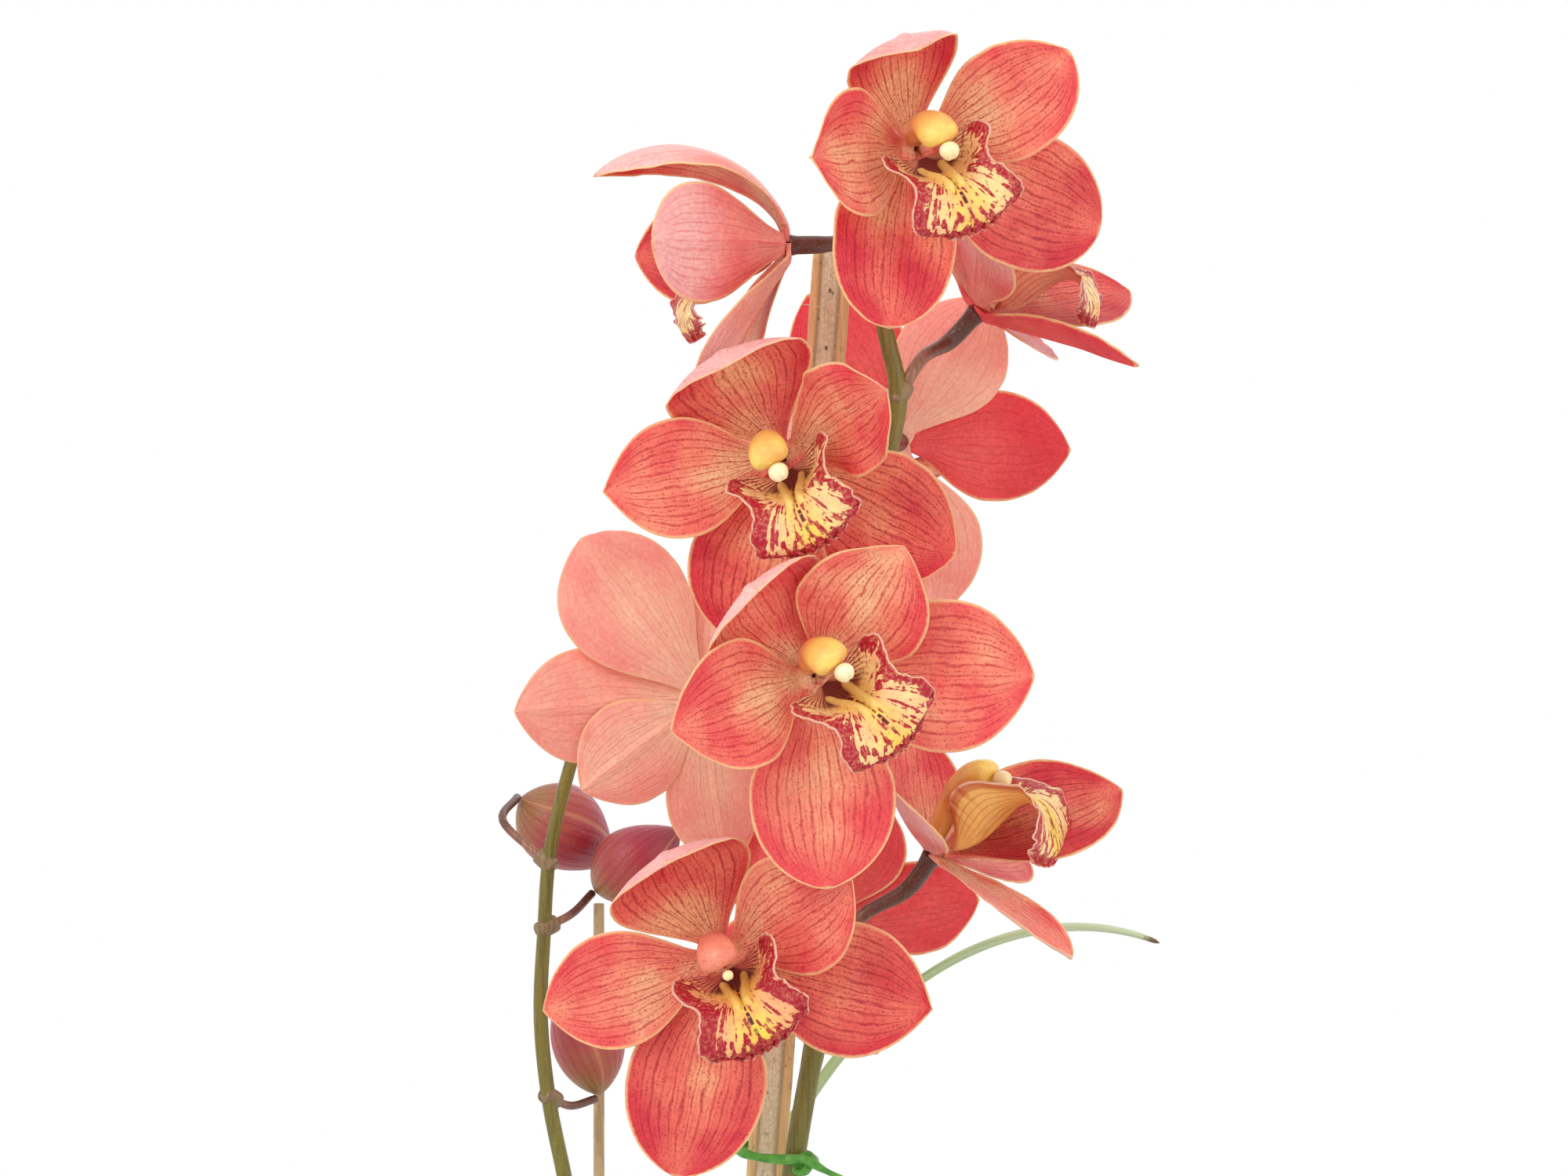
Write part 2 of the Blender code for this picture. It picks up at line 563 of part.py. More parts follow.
def tepal_half_width(t, tepal):
    """Half the width: the claw's at the foot, widest at the peak, closing to a point at the tip."""
    peak, half = tepal["peak"], 0.5 * tepal["width"]
    rise = np.sin(0.5 * np.pi * np.clip(t / peak, 0, 1)) ** 1.3
    close = (1 - np.clip((t - peak) / (1 - peak), 0, 1) ** 2.4) ** tepal["point"]
    return np.where(t < peak, CLAW_HALF_WIDTH + (half - CLAW_HALF_WIDTH) * rise, half * close)


def tepal_surface(t, s, tepal, stand):
    """Points of a tepal at t along it (0 foot, 1 tip) and s across it (-1 to 1), in the flower's
    frame. The midrib leaves the hub at the lift angle and bends by the arch and sweep angles; each
    cross-section is an arc that spans twice the cup angle."""
    steps = 160
    share = np.linspace(0, 1, steps + 1)
    rise = np.radians(tepal["lift"] + tepal["arch"] * share ** tepal["bend"])
    side = np.radians(tepal["sweep"] * share)
    run = tepal["length"] / steps
    forward = np.stack([np.cos(rise) * np.cos(side), np.cos(rise) * np.sin(side), np.sin(rise)], axis=1)
    line = np.vstack([np.zeros(3), np.cumsum(0.5 * (forward[1:] + forward[:-1]) * run, axis=0)])
    line += [HUB_RADIUS, 0.0, stand]
    midrib = np.stack([np.interp(t, share, line[:, i]) for i in range(3)], axis=-1)
    rise, side = np.interp(t, share, rise), np.interp(t, share, side)
    across = np.stack([-np.sin(side), np.cos(side), np.zeros_like(side)], axis=-1)
    tangent = np.stack([np.cos(rise) * np.cos(side), np.cos(rise) * np.sin(side), np.sin(rise)], axis=-1)
    normal = np.cross(tangent, across)
    tilt = np.radians(tepal["tilt"] * t)[..., None]
    across, normal = (np.cos(tilt) * across + np.sin(tilt) * normal,
                      np.cos(tilt) * normal - np.sin(tilt) * across)
    cup_tip = tepal["cup"] if tepal["cup_tip"] is None else tepal["cup_tip"]
    cup = np.radians(tepal["cup"] + (cup_tip - tepal["cup"]) * t)
    half = tepal_half_width(t, tepal)
    offset = (half / cup * np.sin(cup * s))[..., None] * across
    offset = offset + (half / cup * (1 - np.cos(cup * s)))[..., None] * normal
    local = midrib + offset
    angle = math.radians(tepal["angle"])
    x = local[..., 0] * math.cos(angle) - local[..., 1] * math.sin(angle)
    y = local[..., 0] * math.sin(angle) + local[..., 1] * math.cos(angle)
    return np.stack([x, y, local[..., 2]], axis=-1)


def whorl(tepals, stand):
    """One whorl's open surface: a grid for each tepal, its foot row on the hub, and the hub's own
    faces between them. Returns points in the flower's frame and faces."""
    rows, columns = len(TEPAL_ROWS) - 1, len(TEPAL_COLUMNS)
    points, faces, ring = [], [], []
    for tepal in sorted(tepals, key=lambda one: one["angle"]):
        t, s = np.meshgrid(TEPAL_ROWS[:-1], TEPAL_COLUMNS, indexing="ij")
        first = len(points)
        points += list(tepal_surface(t, s, tepal, stand).reshape(-1, 3))
        points += list(tepal_surface(np.array([1.0]), np.array([0.0]), tepal, stand))
        tip = len(points) - 1
        for i in range(rows - 1):
            for j in range(columns - 1):
                a = first + i * columns + j
                faces.append((a, a + columns, a + columns + 1, a + 1))
        for j in range(columns - 1):
            a = first + (rows - 1) * columns + j
            faces.append((a, tip, a + 1))
        ring += [first + j for j in range(columns)]
    points.append(np.array([0.0, 0.0, stand]))
    middle = len(points) - 1
    for i, corner in enumerate(ring):
        faces.append((middle, corner, ring[(i + 1) % len(ring)]))
    return np.array(points), faces


def lip_surface(u, v):
    """Points of the lip at u along it and v across it (-1 to 1): a middle line, and across it an
    arc that wraps up round the column behind and turns down at the mid-lobe in front."""
    up, out = np.interp(u, LIP_ALONG, LIP_UP), np.interp(u, LIP_ALONG, LIP_OUT)
    half, wrap = np.interp(u, LIP_ALONG, LIP_HALF_WIDTH), np.radians(np.interp(u, LIP_ALONG, LIP_WRAP))
    step = 0.04
    ahead_up = np.interp(u + step, LIP_ALONG, LIP_UP) - np.interp(u - step, LIP_ALONG, LIP_UP)
    ahead_out = np.interp(u + step, LIP_ALONG, LIP_OUT) - np.interp(u - step, LIP_ALONG, LIP_OUT)
    size = np.hypot(ahead_up, ahead_out)
    normal_up, normal_out = ahead_out / size, -ahead_up / size
    wrap = np.where(np.abs(wrap) < 0.01, 0.01, wrap)
    side = half / wrap * np.sin(wrap * v)
    depth = half / wrap * (1 - np.cos(wrap * v))
    return np.stack([side, up + depth * normal_up, out + depth * normal_out], axis=-1)


def curled(points, along_lip, curl):
    """Bends the mid-lobe down further: points past the fold are turned about it, more the further
    along they are, until the whole curl angle is reached."""
    at_up, at_out = np.interp(LIP_FOLD, LIP_ALONG, LIP_UP), np.interp(LIP_FOLD, LIP_ALONG, LIP_OUT)
    angle = -math.radians(curl) * step_up(along_lip, LIP_FOLD - 0.04, 0.78)
    up, out = points[..., 1] - at_up, points[..., 2] - at_out
    return np.stack([points[..., 0], at_up + up * np.cos(angle) + out * np.sin(angle),
                     at_out + out * np.cos(angle) - up * np.sin(angle)], axis=-1)


def grid_faces(rows, columns):
    return [(i * columns + j, i * columns + j + 1, (i + 1) * columns + j + 1, (i + 1) * columns + j)
            for i in range(rows - 1) for j in range(columns - 1)]


def to_world(flower, points, axes):
    return np.array(flower["place"]) + (points * MM) @ axes.T


def make_flower(flower, home, finishes):
    """One flower as its four parts: outer whorl, inner whorl, lip and column."""
    name = f"flower_{flower['number']}"
    sepals = [DORSAL | flower["dorsal"], LEFT_SEPAL | flower["low_left"], RIGHT_SEPAL | flower["low_right"]]
    petals = [LEFT_PETAL | flower["left"], RIGHT_PETAL | flower["right"]]
    axes = flower_axes(flower)
    for part, tepals, stand in (("sepals", sepals, SEPAL_STAND), ("petals", petals, PETAL_STAND)):
        points, faces = whorl(tepals, stand)
        points = to_world(flower, points, axes)
        shell_object(f"{name}_{part}", points, faces, TEPAL_THICKNESS * MM, finishes[part], home)
    u, v = np.meshgrid(LIP_ALONG, LIP_COLUMNS, indexing="ij")
    points = curled(lip_surface(u, v), u, flower.get("lip_curl", 0)) * flower.get("lip_size", 1.0)
    points = to_world(flower, points.reshape(-1, 3), lip_axes(flower))
    shell_object(f"{name}_lip", points, grid_faces(*u.shape), LIP_THICKNESS * MM, finishes["lip"], home)
    line = np.stack([np.zeros_like(COLUMN_UP), COLUMN_UP, COLUMN_OUT], axis=1)
    tube(f"{name}_column", to_world(flower, line, axes), COLUMN_RADIUS * MM, finishes["column"], home)


def main():
    clear_scene()
    home = new_collection("potted_orchid")
    cutters = new_collection("cutters", hidden=True)
    clay = material("clay", (0.52, 0.26, 0.16), 0.8)
    bark = material("bark", (0.16, 0.09, 0.05), 0.9)
    split_cane = material("split_cane", (0.60, 0.44, 0.27), 0.6)
    green_tie = material("green_tie", (0.20, 0.55, 0.12), 0.5)
    stem_green = material("stem_green", (0.20, 0.20, 0.03), 0.45)
    bulb_green = material("bulb_green", (0.30, 0.40, 0.10), 0.5)
    leaf_green = material("leaf_green", (0.13, 0.28, 0.04), 0.45)
    bud_red = material("bud_red", (0.35, 0.04, 0.06), 0.5)
    finishes = {"sepals": material("sepal_red", (0.75, 0.16, 0.13), 0.5),
                "petals": material("petal_coral", (0.82, 0.22, 0.15), 0.5),
                "lip": material("lip_yellow", (0.90, 0.65, 0.25), 0.5),
                "column": material("column_yellow", (0.92, 0.70, 0.20), 0.4)}

    make_pot(home, cutters, clay)
    mix = make_mix(home, bark)
    make_stake(home, split_cane)
    room = bar("stake_room", STAKE_FOOT, STAKE_TOP, STAKE_WIDTH, STAKE_DEPTH, None, cutters, GAP)
    cut(mix, cutter(room, cutters))
    cane = [CANE_FOOT, along(CANE_FOOT, CANE_TOP, 0.5), CANE_TOP]
    tube("back_cane", cane, [CANE_RADIUS] * 3, split_cane, home)
    make_tie(home, green_tie)
    for number, (place, radius, height) in enumerate(BULBS, 1):
        room = make_bulb(number, place, radius, height, home, cutters, bulb_green)[1]
        cut(mix, room)
    rooms = (("stem_room", STEM_PATH[:2], STEM_RADIUS * 1.12), ("back_stem_room", BACK_PATH[:2], 0.0031),
             ("cane_room", [CANE_FOOT, CANE_TOP], CANE_RADIUS))
    for name, path, radius in rooms:
        start, end = path
        below = along(start, end, -0.06)
        room = tube(name, [below, end], [radius + 2 * GAP] * 2, None, cutters, resolution=2)
        cut(mix, cutter(as_mesh(room, cutters, None), cutters))
    for number, leaf in enumerate(LEAVES, 1):
        make_leaf(number, leaf, home, leaf_green)
    make_spike(home, stem_green)
    make_back_spike(home, stem_green)
    for number, (foot, tip, radius) in enumerate(BUDS, 1):
        make_bud(number, foot, tip, radius, home, bud_red)
    for flower in FLOWERS:
        make_flower(flower, home, finishes)


main()
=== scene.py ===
"""Looks of a potted boat orchid, in metres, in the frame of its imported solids.

Every petal, sepal, lip, column and anther cap is a piece of its own, made in its flower's frame
(right, up towards the dorsal sepal, out the way it faces; millimetres) and set on that flower's
hub. Patterns follow the surfaces: each sheet carries how far along and across it a point is, how
far it is from the margin in millimetres, and whether it is on the front.
"""

import json
import math

import bmesh
import bpy
import numpy as np
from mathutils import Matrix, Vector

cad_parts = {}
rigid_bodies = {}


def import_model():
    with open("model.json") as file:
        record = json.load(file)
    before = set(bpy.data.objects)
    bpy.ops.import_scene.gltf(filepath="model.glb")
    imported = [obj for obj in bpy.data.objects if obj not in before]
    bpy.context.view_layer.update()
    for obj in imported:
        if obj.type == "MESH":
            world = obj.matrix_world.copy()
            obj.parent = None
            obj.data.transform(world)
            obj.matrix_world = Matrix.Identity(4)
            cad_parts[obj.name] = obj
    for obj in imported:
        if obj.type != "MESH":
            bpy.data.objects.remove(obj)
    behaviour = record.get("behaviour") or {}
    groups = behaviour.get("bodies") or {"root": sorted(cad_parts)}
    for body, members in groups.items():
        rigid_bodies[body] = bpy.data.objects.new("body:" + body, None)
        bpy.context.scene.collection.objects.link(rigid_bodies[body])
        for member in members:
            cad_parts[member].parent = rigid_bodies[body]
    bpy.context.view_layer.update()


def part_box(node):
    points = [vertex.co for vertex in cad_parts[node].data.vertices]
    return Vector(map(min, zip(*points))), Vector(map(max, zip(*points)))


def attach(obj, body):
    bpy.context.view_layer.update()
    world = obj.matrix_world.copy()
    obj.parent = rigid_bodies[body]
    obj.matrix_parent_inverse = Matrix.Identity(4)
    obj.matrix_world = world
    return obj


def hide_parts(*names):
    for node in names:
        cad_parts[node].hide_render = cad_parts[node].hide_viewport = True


MM = 0.001
SEED = 20
SAME_POINT = 0.0000005     # points of a fine mesh nearer than this are one
POLE_MERGE = 0.00001       # the same on turned bodies, whose middle rings have no size

for thing in list(bpy.data.objects):
    bpy.data.objects.remove(thing, do_unlink=True)
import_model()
plant = bpy.data.collections.new("potted_orchid")
bpy.context.scene.collection.children.link(plant)


# ---- Numbers along curves


def eased(x, knots, values):
    """A smooth curve through the knots: between two of them a cubic that keeps their centred slopes."""
    knots, values = np.asarray(knots, float), np.asarray(values, float)
    slope = np.gradient(values, knots)
    i = np.clip(np.searchsorted(knots, x, side="right") - 1, 0, len(knots) - 2)
    gap = knots[i + 1] - knots[i]
    t = np.clip((x - knots[i]) / gap, 0, 1)
    return ((2 * t**3 - 3 * t**2 + 1) * values[i] + (t**3 - 2 * t**2 + t) * gap * slope[i]
            + (3 * t**2 - 2 * t**3) * values[i + 1] + (t**3 - t**2) * gap * slope[i + 1])


def eased_path(points, count):
    """Points evenly spaced by share of length along a smooth curve through the given points."""
    points = np.array(points, float)
    runs = np.linalg.norm(np.diff(points, axis=0), axis=1)
    share = np.concatenate([[0], np.cumsum(runs)]) / runs.sum()
    x = np.linspace(0, 1, count)
    return np.stack([eased(x, share, points[:, i]) for i in range(3)], axis=1)


def step_up(x, low, high):
    """0 below low, 1 above high, and a smooth rise between."""
    t = np.clip((x - low) / (high - low), 0, 1)
    return t * t * (3 - 2 * t)


def wander(shape, seed, reach):
    """Smooth random numbers on a grid, about -1 to 1: white noise averaged over reach cells each way."""
    made = np.random.default_rng(seed).standard_normal(shape)
    kernel = np.hanning(2 * reach + 1)
    kernel /= np.sqrt((kernel**2).sum())

    def averaged(row):
        return np.convolve(np.pad(row, reach, mode="wrap"), kernel, "valid")

    for axis in range(made.ndim):
        if made.shape[axis] > 1:
            made = np.apply_along_axis(averaged, axis, made)
    return np.clip(made * 0.5, -1.2, 1.2)


def square_to(at, knots, ups, outs, step):
    """The unit direction square to a line of up and out values at a place on it, first up and then
    out. Which way the line runs is the difference between one step after and one step before."""
    before, after = np.clip(at - step, 0, 1), np.clip(at + step, 0, 1)
    ahead_up = eased(after, knots, ups) - eased(before, knots, ups)
    ahead_out = eased(after, knots, outs) - eased(before, knots, outs)
    size = np.hypot(ahead_up, ahead_out)
    return ahead_out / size, -ahead_up / size


# ---- Meshes


def grid_quads(rows, columns, closed=False):
    """The faces of a grid of rows by columns points, joined round on its columns if closed."""
    i, j = np.meshgrid(np.arange(rows - 1), np.arange(columns - (not closed)), indexing="ij")
    k = (j + 1) % columns
    here, below = i * columns, (i + 1) * columns
    return np.stack([here + j, below + j, below + k, here + k], -1).reshape(-1, 4)


def add_mesh(name, points, faces, finish, readings=None, uv=None, merge=SAME_POINT):
    """A smooth-shaded mesh from whole arrays, its coincident points merged and its faces turned
    outward: the signed volume of a closed body is the sum over its faces of corner triple products."""
    points = np.asarray(points, float).reshape(-1, 3)
    a, b, c, d = (points[faces[:, k]] for k in range(4))
    volume = np.einsum("ij,ij->", a, np.cross(b, c)) + np.einsum("ij,ij->", a, np.cross(c, d))
    if volume < 0:
        faces = faces[:, ::-1]
        uv = None if uv is None else uv[:, ::-1]
    mesh = bpy.data.meshes.new(name)
    mesh.from_pydata(points.tolist(), [], faces.tolist())
    for key, numbers in (readings or {}).items():
        layer = mesh.attributes.new(key, "FLOAT", "POINT")
        layer.data.foreach_set("value", np.asarray(numbers, np.float32).ravel())
    if uv is not None:
        layer = mesh.uv_layers.new(name="OFBake")
        layer.data.foreach_set("uv", np.asarray(uv, np.float32).ravel())
    body = bmesh.new()
    body.from_mesh(mesh)
    bmesh.ops.remove_doubles(body, verts=body.verts, dist=merge)
    body.to_mesh(mesh)
    body.free()
    mesh.shade_smooth()
    mesh.materials.append(finish)
    made = bpy.data.objects.new(name, mesh)
    plant.objects.link(made)
    return made


def surface_normals(points):
    """Unit normals of a grid surface: along-direction cross across-direction, by differences."""
    normal = np.cross(np.gradient(points, axis=0), np.gradient(points, axis=1))
    size = np.linalg.norm(normal, axis=2, keepdims=True)
    normal = normal / np.maximum(size, 1e-12)
    normal[-1] = normal[-2]
    normal[0] = normal[1]
    return normal


def add_sheet(name, points, thickness, finish, readings):
    """A thin closed sheet on a grid surface: its front stands half the thickness off one side, its
    back half off the other, and a strip joins them round the margin."""
    rows, columns = points.shape[:2]
    normal = surface_normals(points)
    offset = 0.5 * np.asarray(thickness)[..., None] * normal
    both = np.concatenate([(points + offset).reshape(-1, 3), (points - offset).reshape(-1, 3)])
    count = rows * columns
    front = grid_quads(rows, columns)
    back = front[:, ::-1] + count
    number = np.arange(count).reshape(rows, columns)
    margin = np.concatenate([number[0, :], number[1:, -1], number[-1, -2::-1], number[-2::-1, 0]])
    following = np.roll(margin, -1)
    strip = np.stack([margin, following, following + count, margin + count], axis=1)
    keep = margin != following
    faces = np.concatenate([front, back, strip[keep]])
    along, across = np.meshgrid(np.linspace(0, 1, rows), np.linspace(0, 1, columns), indexing="ij")
    front_uv = np.stack([0.01 + 0.98 * along, 0.01 + 0.48 * across], -1).reshape(-1, 2)
    back_uv = front_uv + [0.0, 0.5]
    uv = np.concatenate([front_uv, back_uv, front_uv])[np.concatenate(
        [front.ravel(), back.ravel(), (strip[keep] % count).ravel()])].reshape(-1, 4, 2)
    marked = {key: np.concatenate([np.ravel(value), np.ravel(value)]) for key, value in readings.items()}
    marked["front"] = np.concatenate([np.ones(count), np.zeros(count)])
    return add_mesh(name, both, faces, finish, marked, uv)


def frames_along(path):
    """For each point of a path, two directions square to it, carried along without twisting."""
    ahead = np.gradient(path, axis=0)
    ahead /= np.linalg.norm(ahead, axis=1, keepdims=True)
    side = np.zeros_like(path)
    start = np.array([1.0, 0.0, 0.0]) if abs(ahead[0, 0]) < 0.8 else np.array([0.0, 0.0, 1.0])
    side[0] = start - ahead[0] * ahead[0].dot(start)
    side[0] /= np.linalg.norm(side[0])
    for i in range(1, len(path)):
        side[i] = side[i - 1] - ahead[i] * ahead[i].dot(side[i - 1])
        side[i] /= np.linalg.norm(side[i])
    return side, np.cross(ahead, side)


def tube_arrays(path, radius, around=20, flat=1.0, shape=None):
    """Points and faces of a closed tube: rings of the given radii square to the path, its ends
    drawn in to a point. shape(angle, share) scales each ring; flat squashes it one way."""
    path = np.asarray(path, float)
    side, up = frames_along(path)
    angle = np.linspace(0, 2 * np.pi, around, endpoint=False)
    share = np.linspace(0, 1, len(path))
    radius = np.broadcast_to(np.asarray(radius, float), len(path))[:, None]
    scale = radius * (shape(angle[None, :], share[:, None]) if shape else 1.0)
    ring = (path[:, None, :] + (scale * np.cos(angle))[..., None] * side[:, None, :]
            + (scale * flat * np.sin(angle))[..., None] * up[:, None, :])
    start = np.broadcast_to(path[0], (1, around, 3))
    end = np.broadcast_to(path[-1], (1, around, 3))
    points = np.concatenate([start, ring, end])
    share = np.concatenate([[0], share, [1]])
    readings = {"along": np.repeat(share, around), "turn": np.tile(angle / (2 * np.pi), len(share))}
    return points.reshape(-1, 3), grid_quads(len(share), around, closed=True), readings


def add_tubes(name, tubes, finish):
    """One piece made of several closed tubes, each with its own kind reading."""
    points, faces, readings, first = [], [], [], 0
    for kind, (p, f, r) in tubes:
        points.append(p)
        faces.append(f + first)
        readings.append(dict(r, kind=np.full(len(p), float(kind))))
        first += len(p)
    joined = {key: np.concatenate([r[key] for r in readings]) for key in readings[0]}
    return add_mesh(name, np.concatenate(points), np.concatenate(faces), finish, joined)


def add_turned(name, profile, finish, around=96, place=(0, 0, 0), shape=None):
    """A turned body: the profile (radius, height) spun round the Z axis through place, as a grid of
    heights by angles; shape(angle, radius, height) may move the radius."""
    profile = np.asarray(profile, float)
    angle = np.linspace(0, 2 * np.pi, around, endpoint=False)
    r, z = np.broadcast_arrays(profile[:, 0][:, None], profile[:, 1][:, None] + 0 * angle)
    r = r * (shape(angle[None, :], r, z) if shape else 1.0)
    points = np.stack([r * np.cos(angle), r * np.sin(angle), z], -1) + np.asarray(place)
    run = np.concatenate([[0], np.cumsum(np.linalg.norm(np.diff(profile, axis=0), axis=1))])
    readings = {"along": np.repeat(run / run[-1], around),
                "turn": np.tile(angle / (2 * np.pi), len(profile))}
    faces = grid_quads(len(profile), around, closed=True)
    return add_mesh(name, points, faces, finish, readings, merge=POLE_MERGE)


def stand(piece, *nodes, slot):
    """The piece rides on the root and takes the place of CAD nodes; slot is not used."""
    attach(piece, "root")
    if nodes:
        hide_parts(*nodes)
    return piece


# ---- Finishes


class Reading:
    """What a node gives out. It takes part in sums like a number, and each sum adds a math node."""

    def __init__(self, finish, socket):
        self.finish, self.socket = finish, socket

    def __add__(self, other):
        return self.finish.sum("ADD", self, other)

    def __sub__(self, other):
        return self.finish.sum("SUBTRACT", self, other)

    def __mul__(self, other):
        return self.finish.sum("MULTIPLY", self, other)

    def __abs__(self):
        return self.finish.sum("ABSOLUTE", self)


class Finish:
    """A material built node by node; each step returns the reading that the next one takes."""

    MIX_INPUTS = (0, 6, 7)     # a colour mix node's share, first and second colour
    MIX_OUTPUT = 2

    def __init__(self, name, **sockets):
        self.material = bpy.data.materials.new(name)
        self.material.use_nodes = True
        self.tree = self.material.node_tree
        self.shader = self.tree.nodes["Principled BSDF"]
        for key, value in sockets.items():
            self.shader.inputs[key.replace("_", " ")].default_value = value

    def feed(self, value, socket):
        if isinstance(value, Reading):
            self.tree.links.new(value.socket, socket)
        elif isinstance(value, tuple):
            socket.default_value = (*value, 1.0) if len(value) == 3 and socket.type == "RGBA" else value
        else:
            socket.default_value = value

    def add(self, kind, **settings):
        node = self.tree.nodes.new(kind)
        for key, value in settings.items():
            setattr(node, key, value)
        return node

    def reading(self, name):
        return Reading(self, self.add("ShaderNodeAttribute", attribute_name=name).outputs["Fac"])

    def place(self):
        return Reading(self, self.add("ShaderNodeTexCoord").outputs["Object"])

    def sum(self, operation, *values):
        node = self.add("ShaderNodeMath", operation=operation)
        for value, socket in zip(values, node.inputs):
            self.feed(value, socket)
        return Reading(self, node.outputs[0])

    def higher(self, first, second):
        return self.sum("MAXIMUM", first, second)

    def mix(self, share, first, second, blend="MIX"):
        node = self.add("ShaderNodeMix", data_type="RGBA", blend_type=blend)
        for value, number in zip((share, first, second), self.MIX_INPUTS):
            self.feed(value, node.inputs[number])
        return Reading(self, node.outputs[self.MIX_OUTPUT])

    def between(self, value, low, high, to_low=0.0, to_high=1.0):
        """to_low where the value is low or below it, to_high at high, and a smooth rise between."""
        node = self.add("ShaderNodeMapRange", interpolation_type="SMOOTHSTEP")
        for item, socket in zip((value, low, high, to_low, to_high), node.inputs):
            self.feed(item, socket)
        return Reading(self, node.outputs[0])

    def noise(self, where, scale, detail=2.0, rough=0.5):
        node = self.add("ShaderNodeTexNoise")
        for key, value in (("Vector", where), ("Scale", scale), ("Detail", detail), ("Roughness", rough)):
            self.feed(value, node.inputs[key])
        return Reading(self, node.outputs["Fac"])

    def cells(self, where, scale):
        """How far it is to the nearest of many scattered points."""
        node = self.add("ShaderNodeTexVoronoi")
        self.feed(where, node.inputs["Vector"])
        self.feed(scale, node.inputs["Scale"])
        return Reading(self, node.outputs["Distance"])

    def dots(self, where, scale, full, none, most=1.0):
        """Round dots, most at their middles, from full to none as the distance grows."""
        return self.between(self.cells(where, scale), full, none, most, 0.0)

    def joined(self, x, y, z):
        node = self.add("ShaderNodeCombineXYZ")
        for value, socket in zip((x, y, z), node.inputs):
            self.feed(value, socket)
        return Reading(self, node.outputs[0])

    def stretched(self, where, x, y, z):
        node = self.add("ShaderNodeMapping")
        self.feed(where, node.inputs["Vector"])
        self.feed((x, y, z), node.inputs["Scale"])
        return Reading(self, node.outputs[0])

    def ramp(self, value, stops):
        node = self.add("ShaderNodeValToRGB")
        self.feed(value, node.inputs[0])
        band = node.color_ramp
        while len(band.elements) < len(stops):
            band.elements.new(0.5)
        for element, (place, colour) in zip(band.elements, stops):
            element.position = place
            element.color = (*colour, 1.0)
        return Reading(self, node.outputs[0])

    def lines(self, value, count, low, high):
        """Thin lines, 1 on the line: how near value times count is to a whole number."""
        away = abs(self.sum("FRACT", value * count + 0.5) - 0.5)
        return self.between(away, low, high, 1.0, 0.0)

    def done(self, colour, rough, height, distance, strength=0.6):
        """Joins colour, roughness and bump height to the shader."""
        self.feed(colour, self.shader.inputs["Base Color"])
        self.feed(rough, self.shader.inputs["Roughness"])
        bump = self.add("ShaderNodeBump")
        for key, value in (("Strength", strength), ("Distance", distance), ("Height", height)):
            self.feed(value, bump.inputs[key])
        self.tree.links.new(bump.outputs[0], self.shader.inputs["Normal"])
        return self.material


def soft(amount, reach, **more):
    """Sockets of a skin that light passes into, by a share and by how far each colour reaches."""
    return dict(Subsurface_Weight=amount, Subsurface_Radius=reach, Subsurface_Scale=0.5, **more)


def shaded(colour, share):
    """The colour made darker, below 1, or lighter, above 1."""
    return tuple(share * part for part in colour)


def halfway(first, second):
    return tuple(0.5 * a + 0.5 * b for a, b in zip(first, second))


GOLD_RIM = (0.94, 0.58, 0.27)
PEACH_RIM = (0.93, 0.62, 0.46)
LILAC = (0.96, 0.6, 0.58)
# colour of the painted glints laid on the petals' cell grain
PAINTED_GLINT = (1.0, 0.7, 0.55)
FRECKLE_RED = (0.45, 0.03, 0.04)


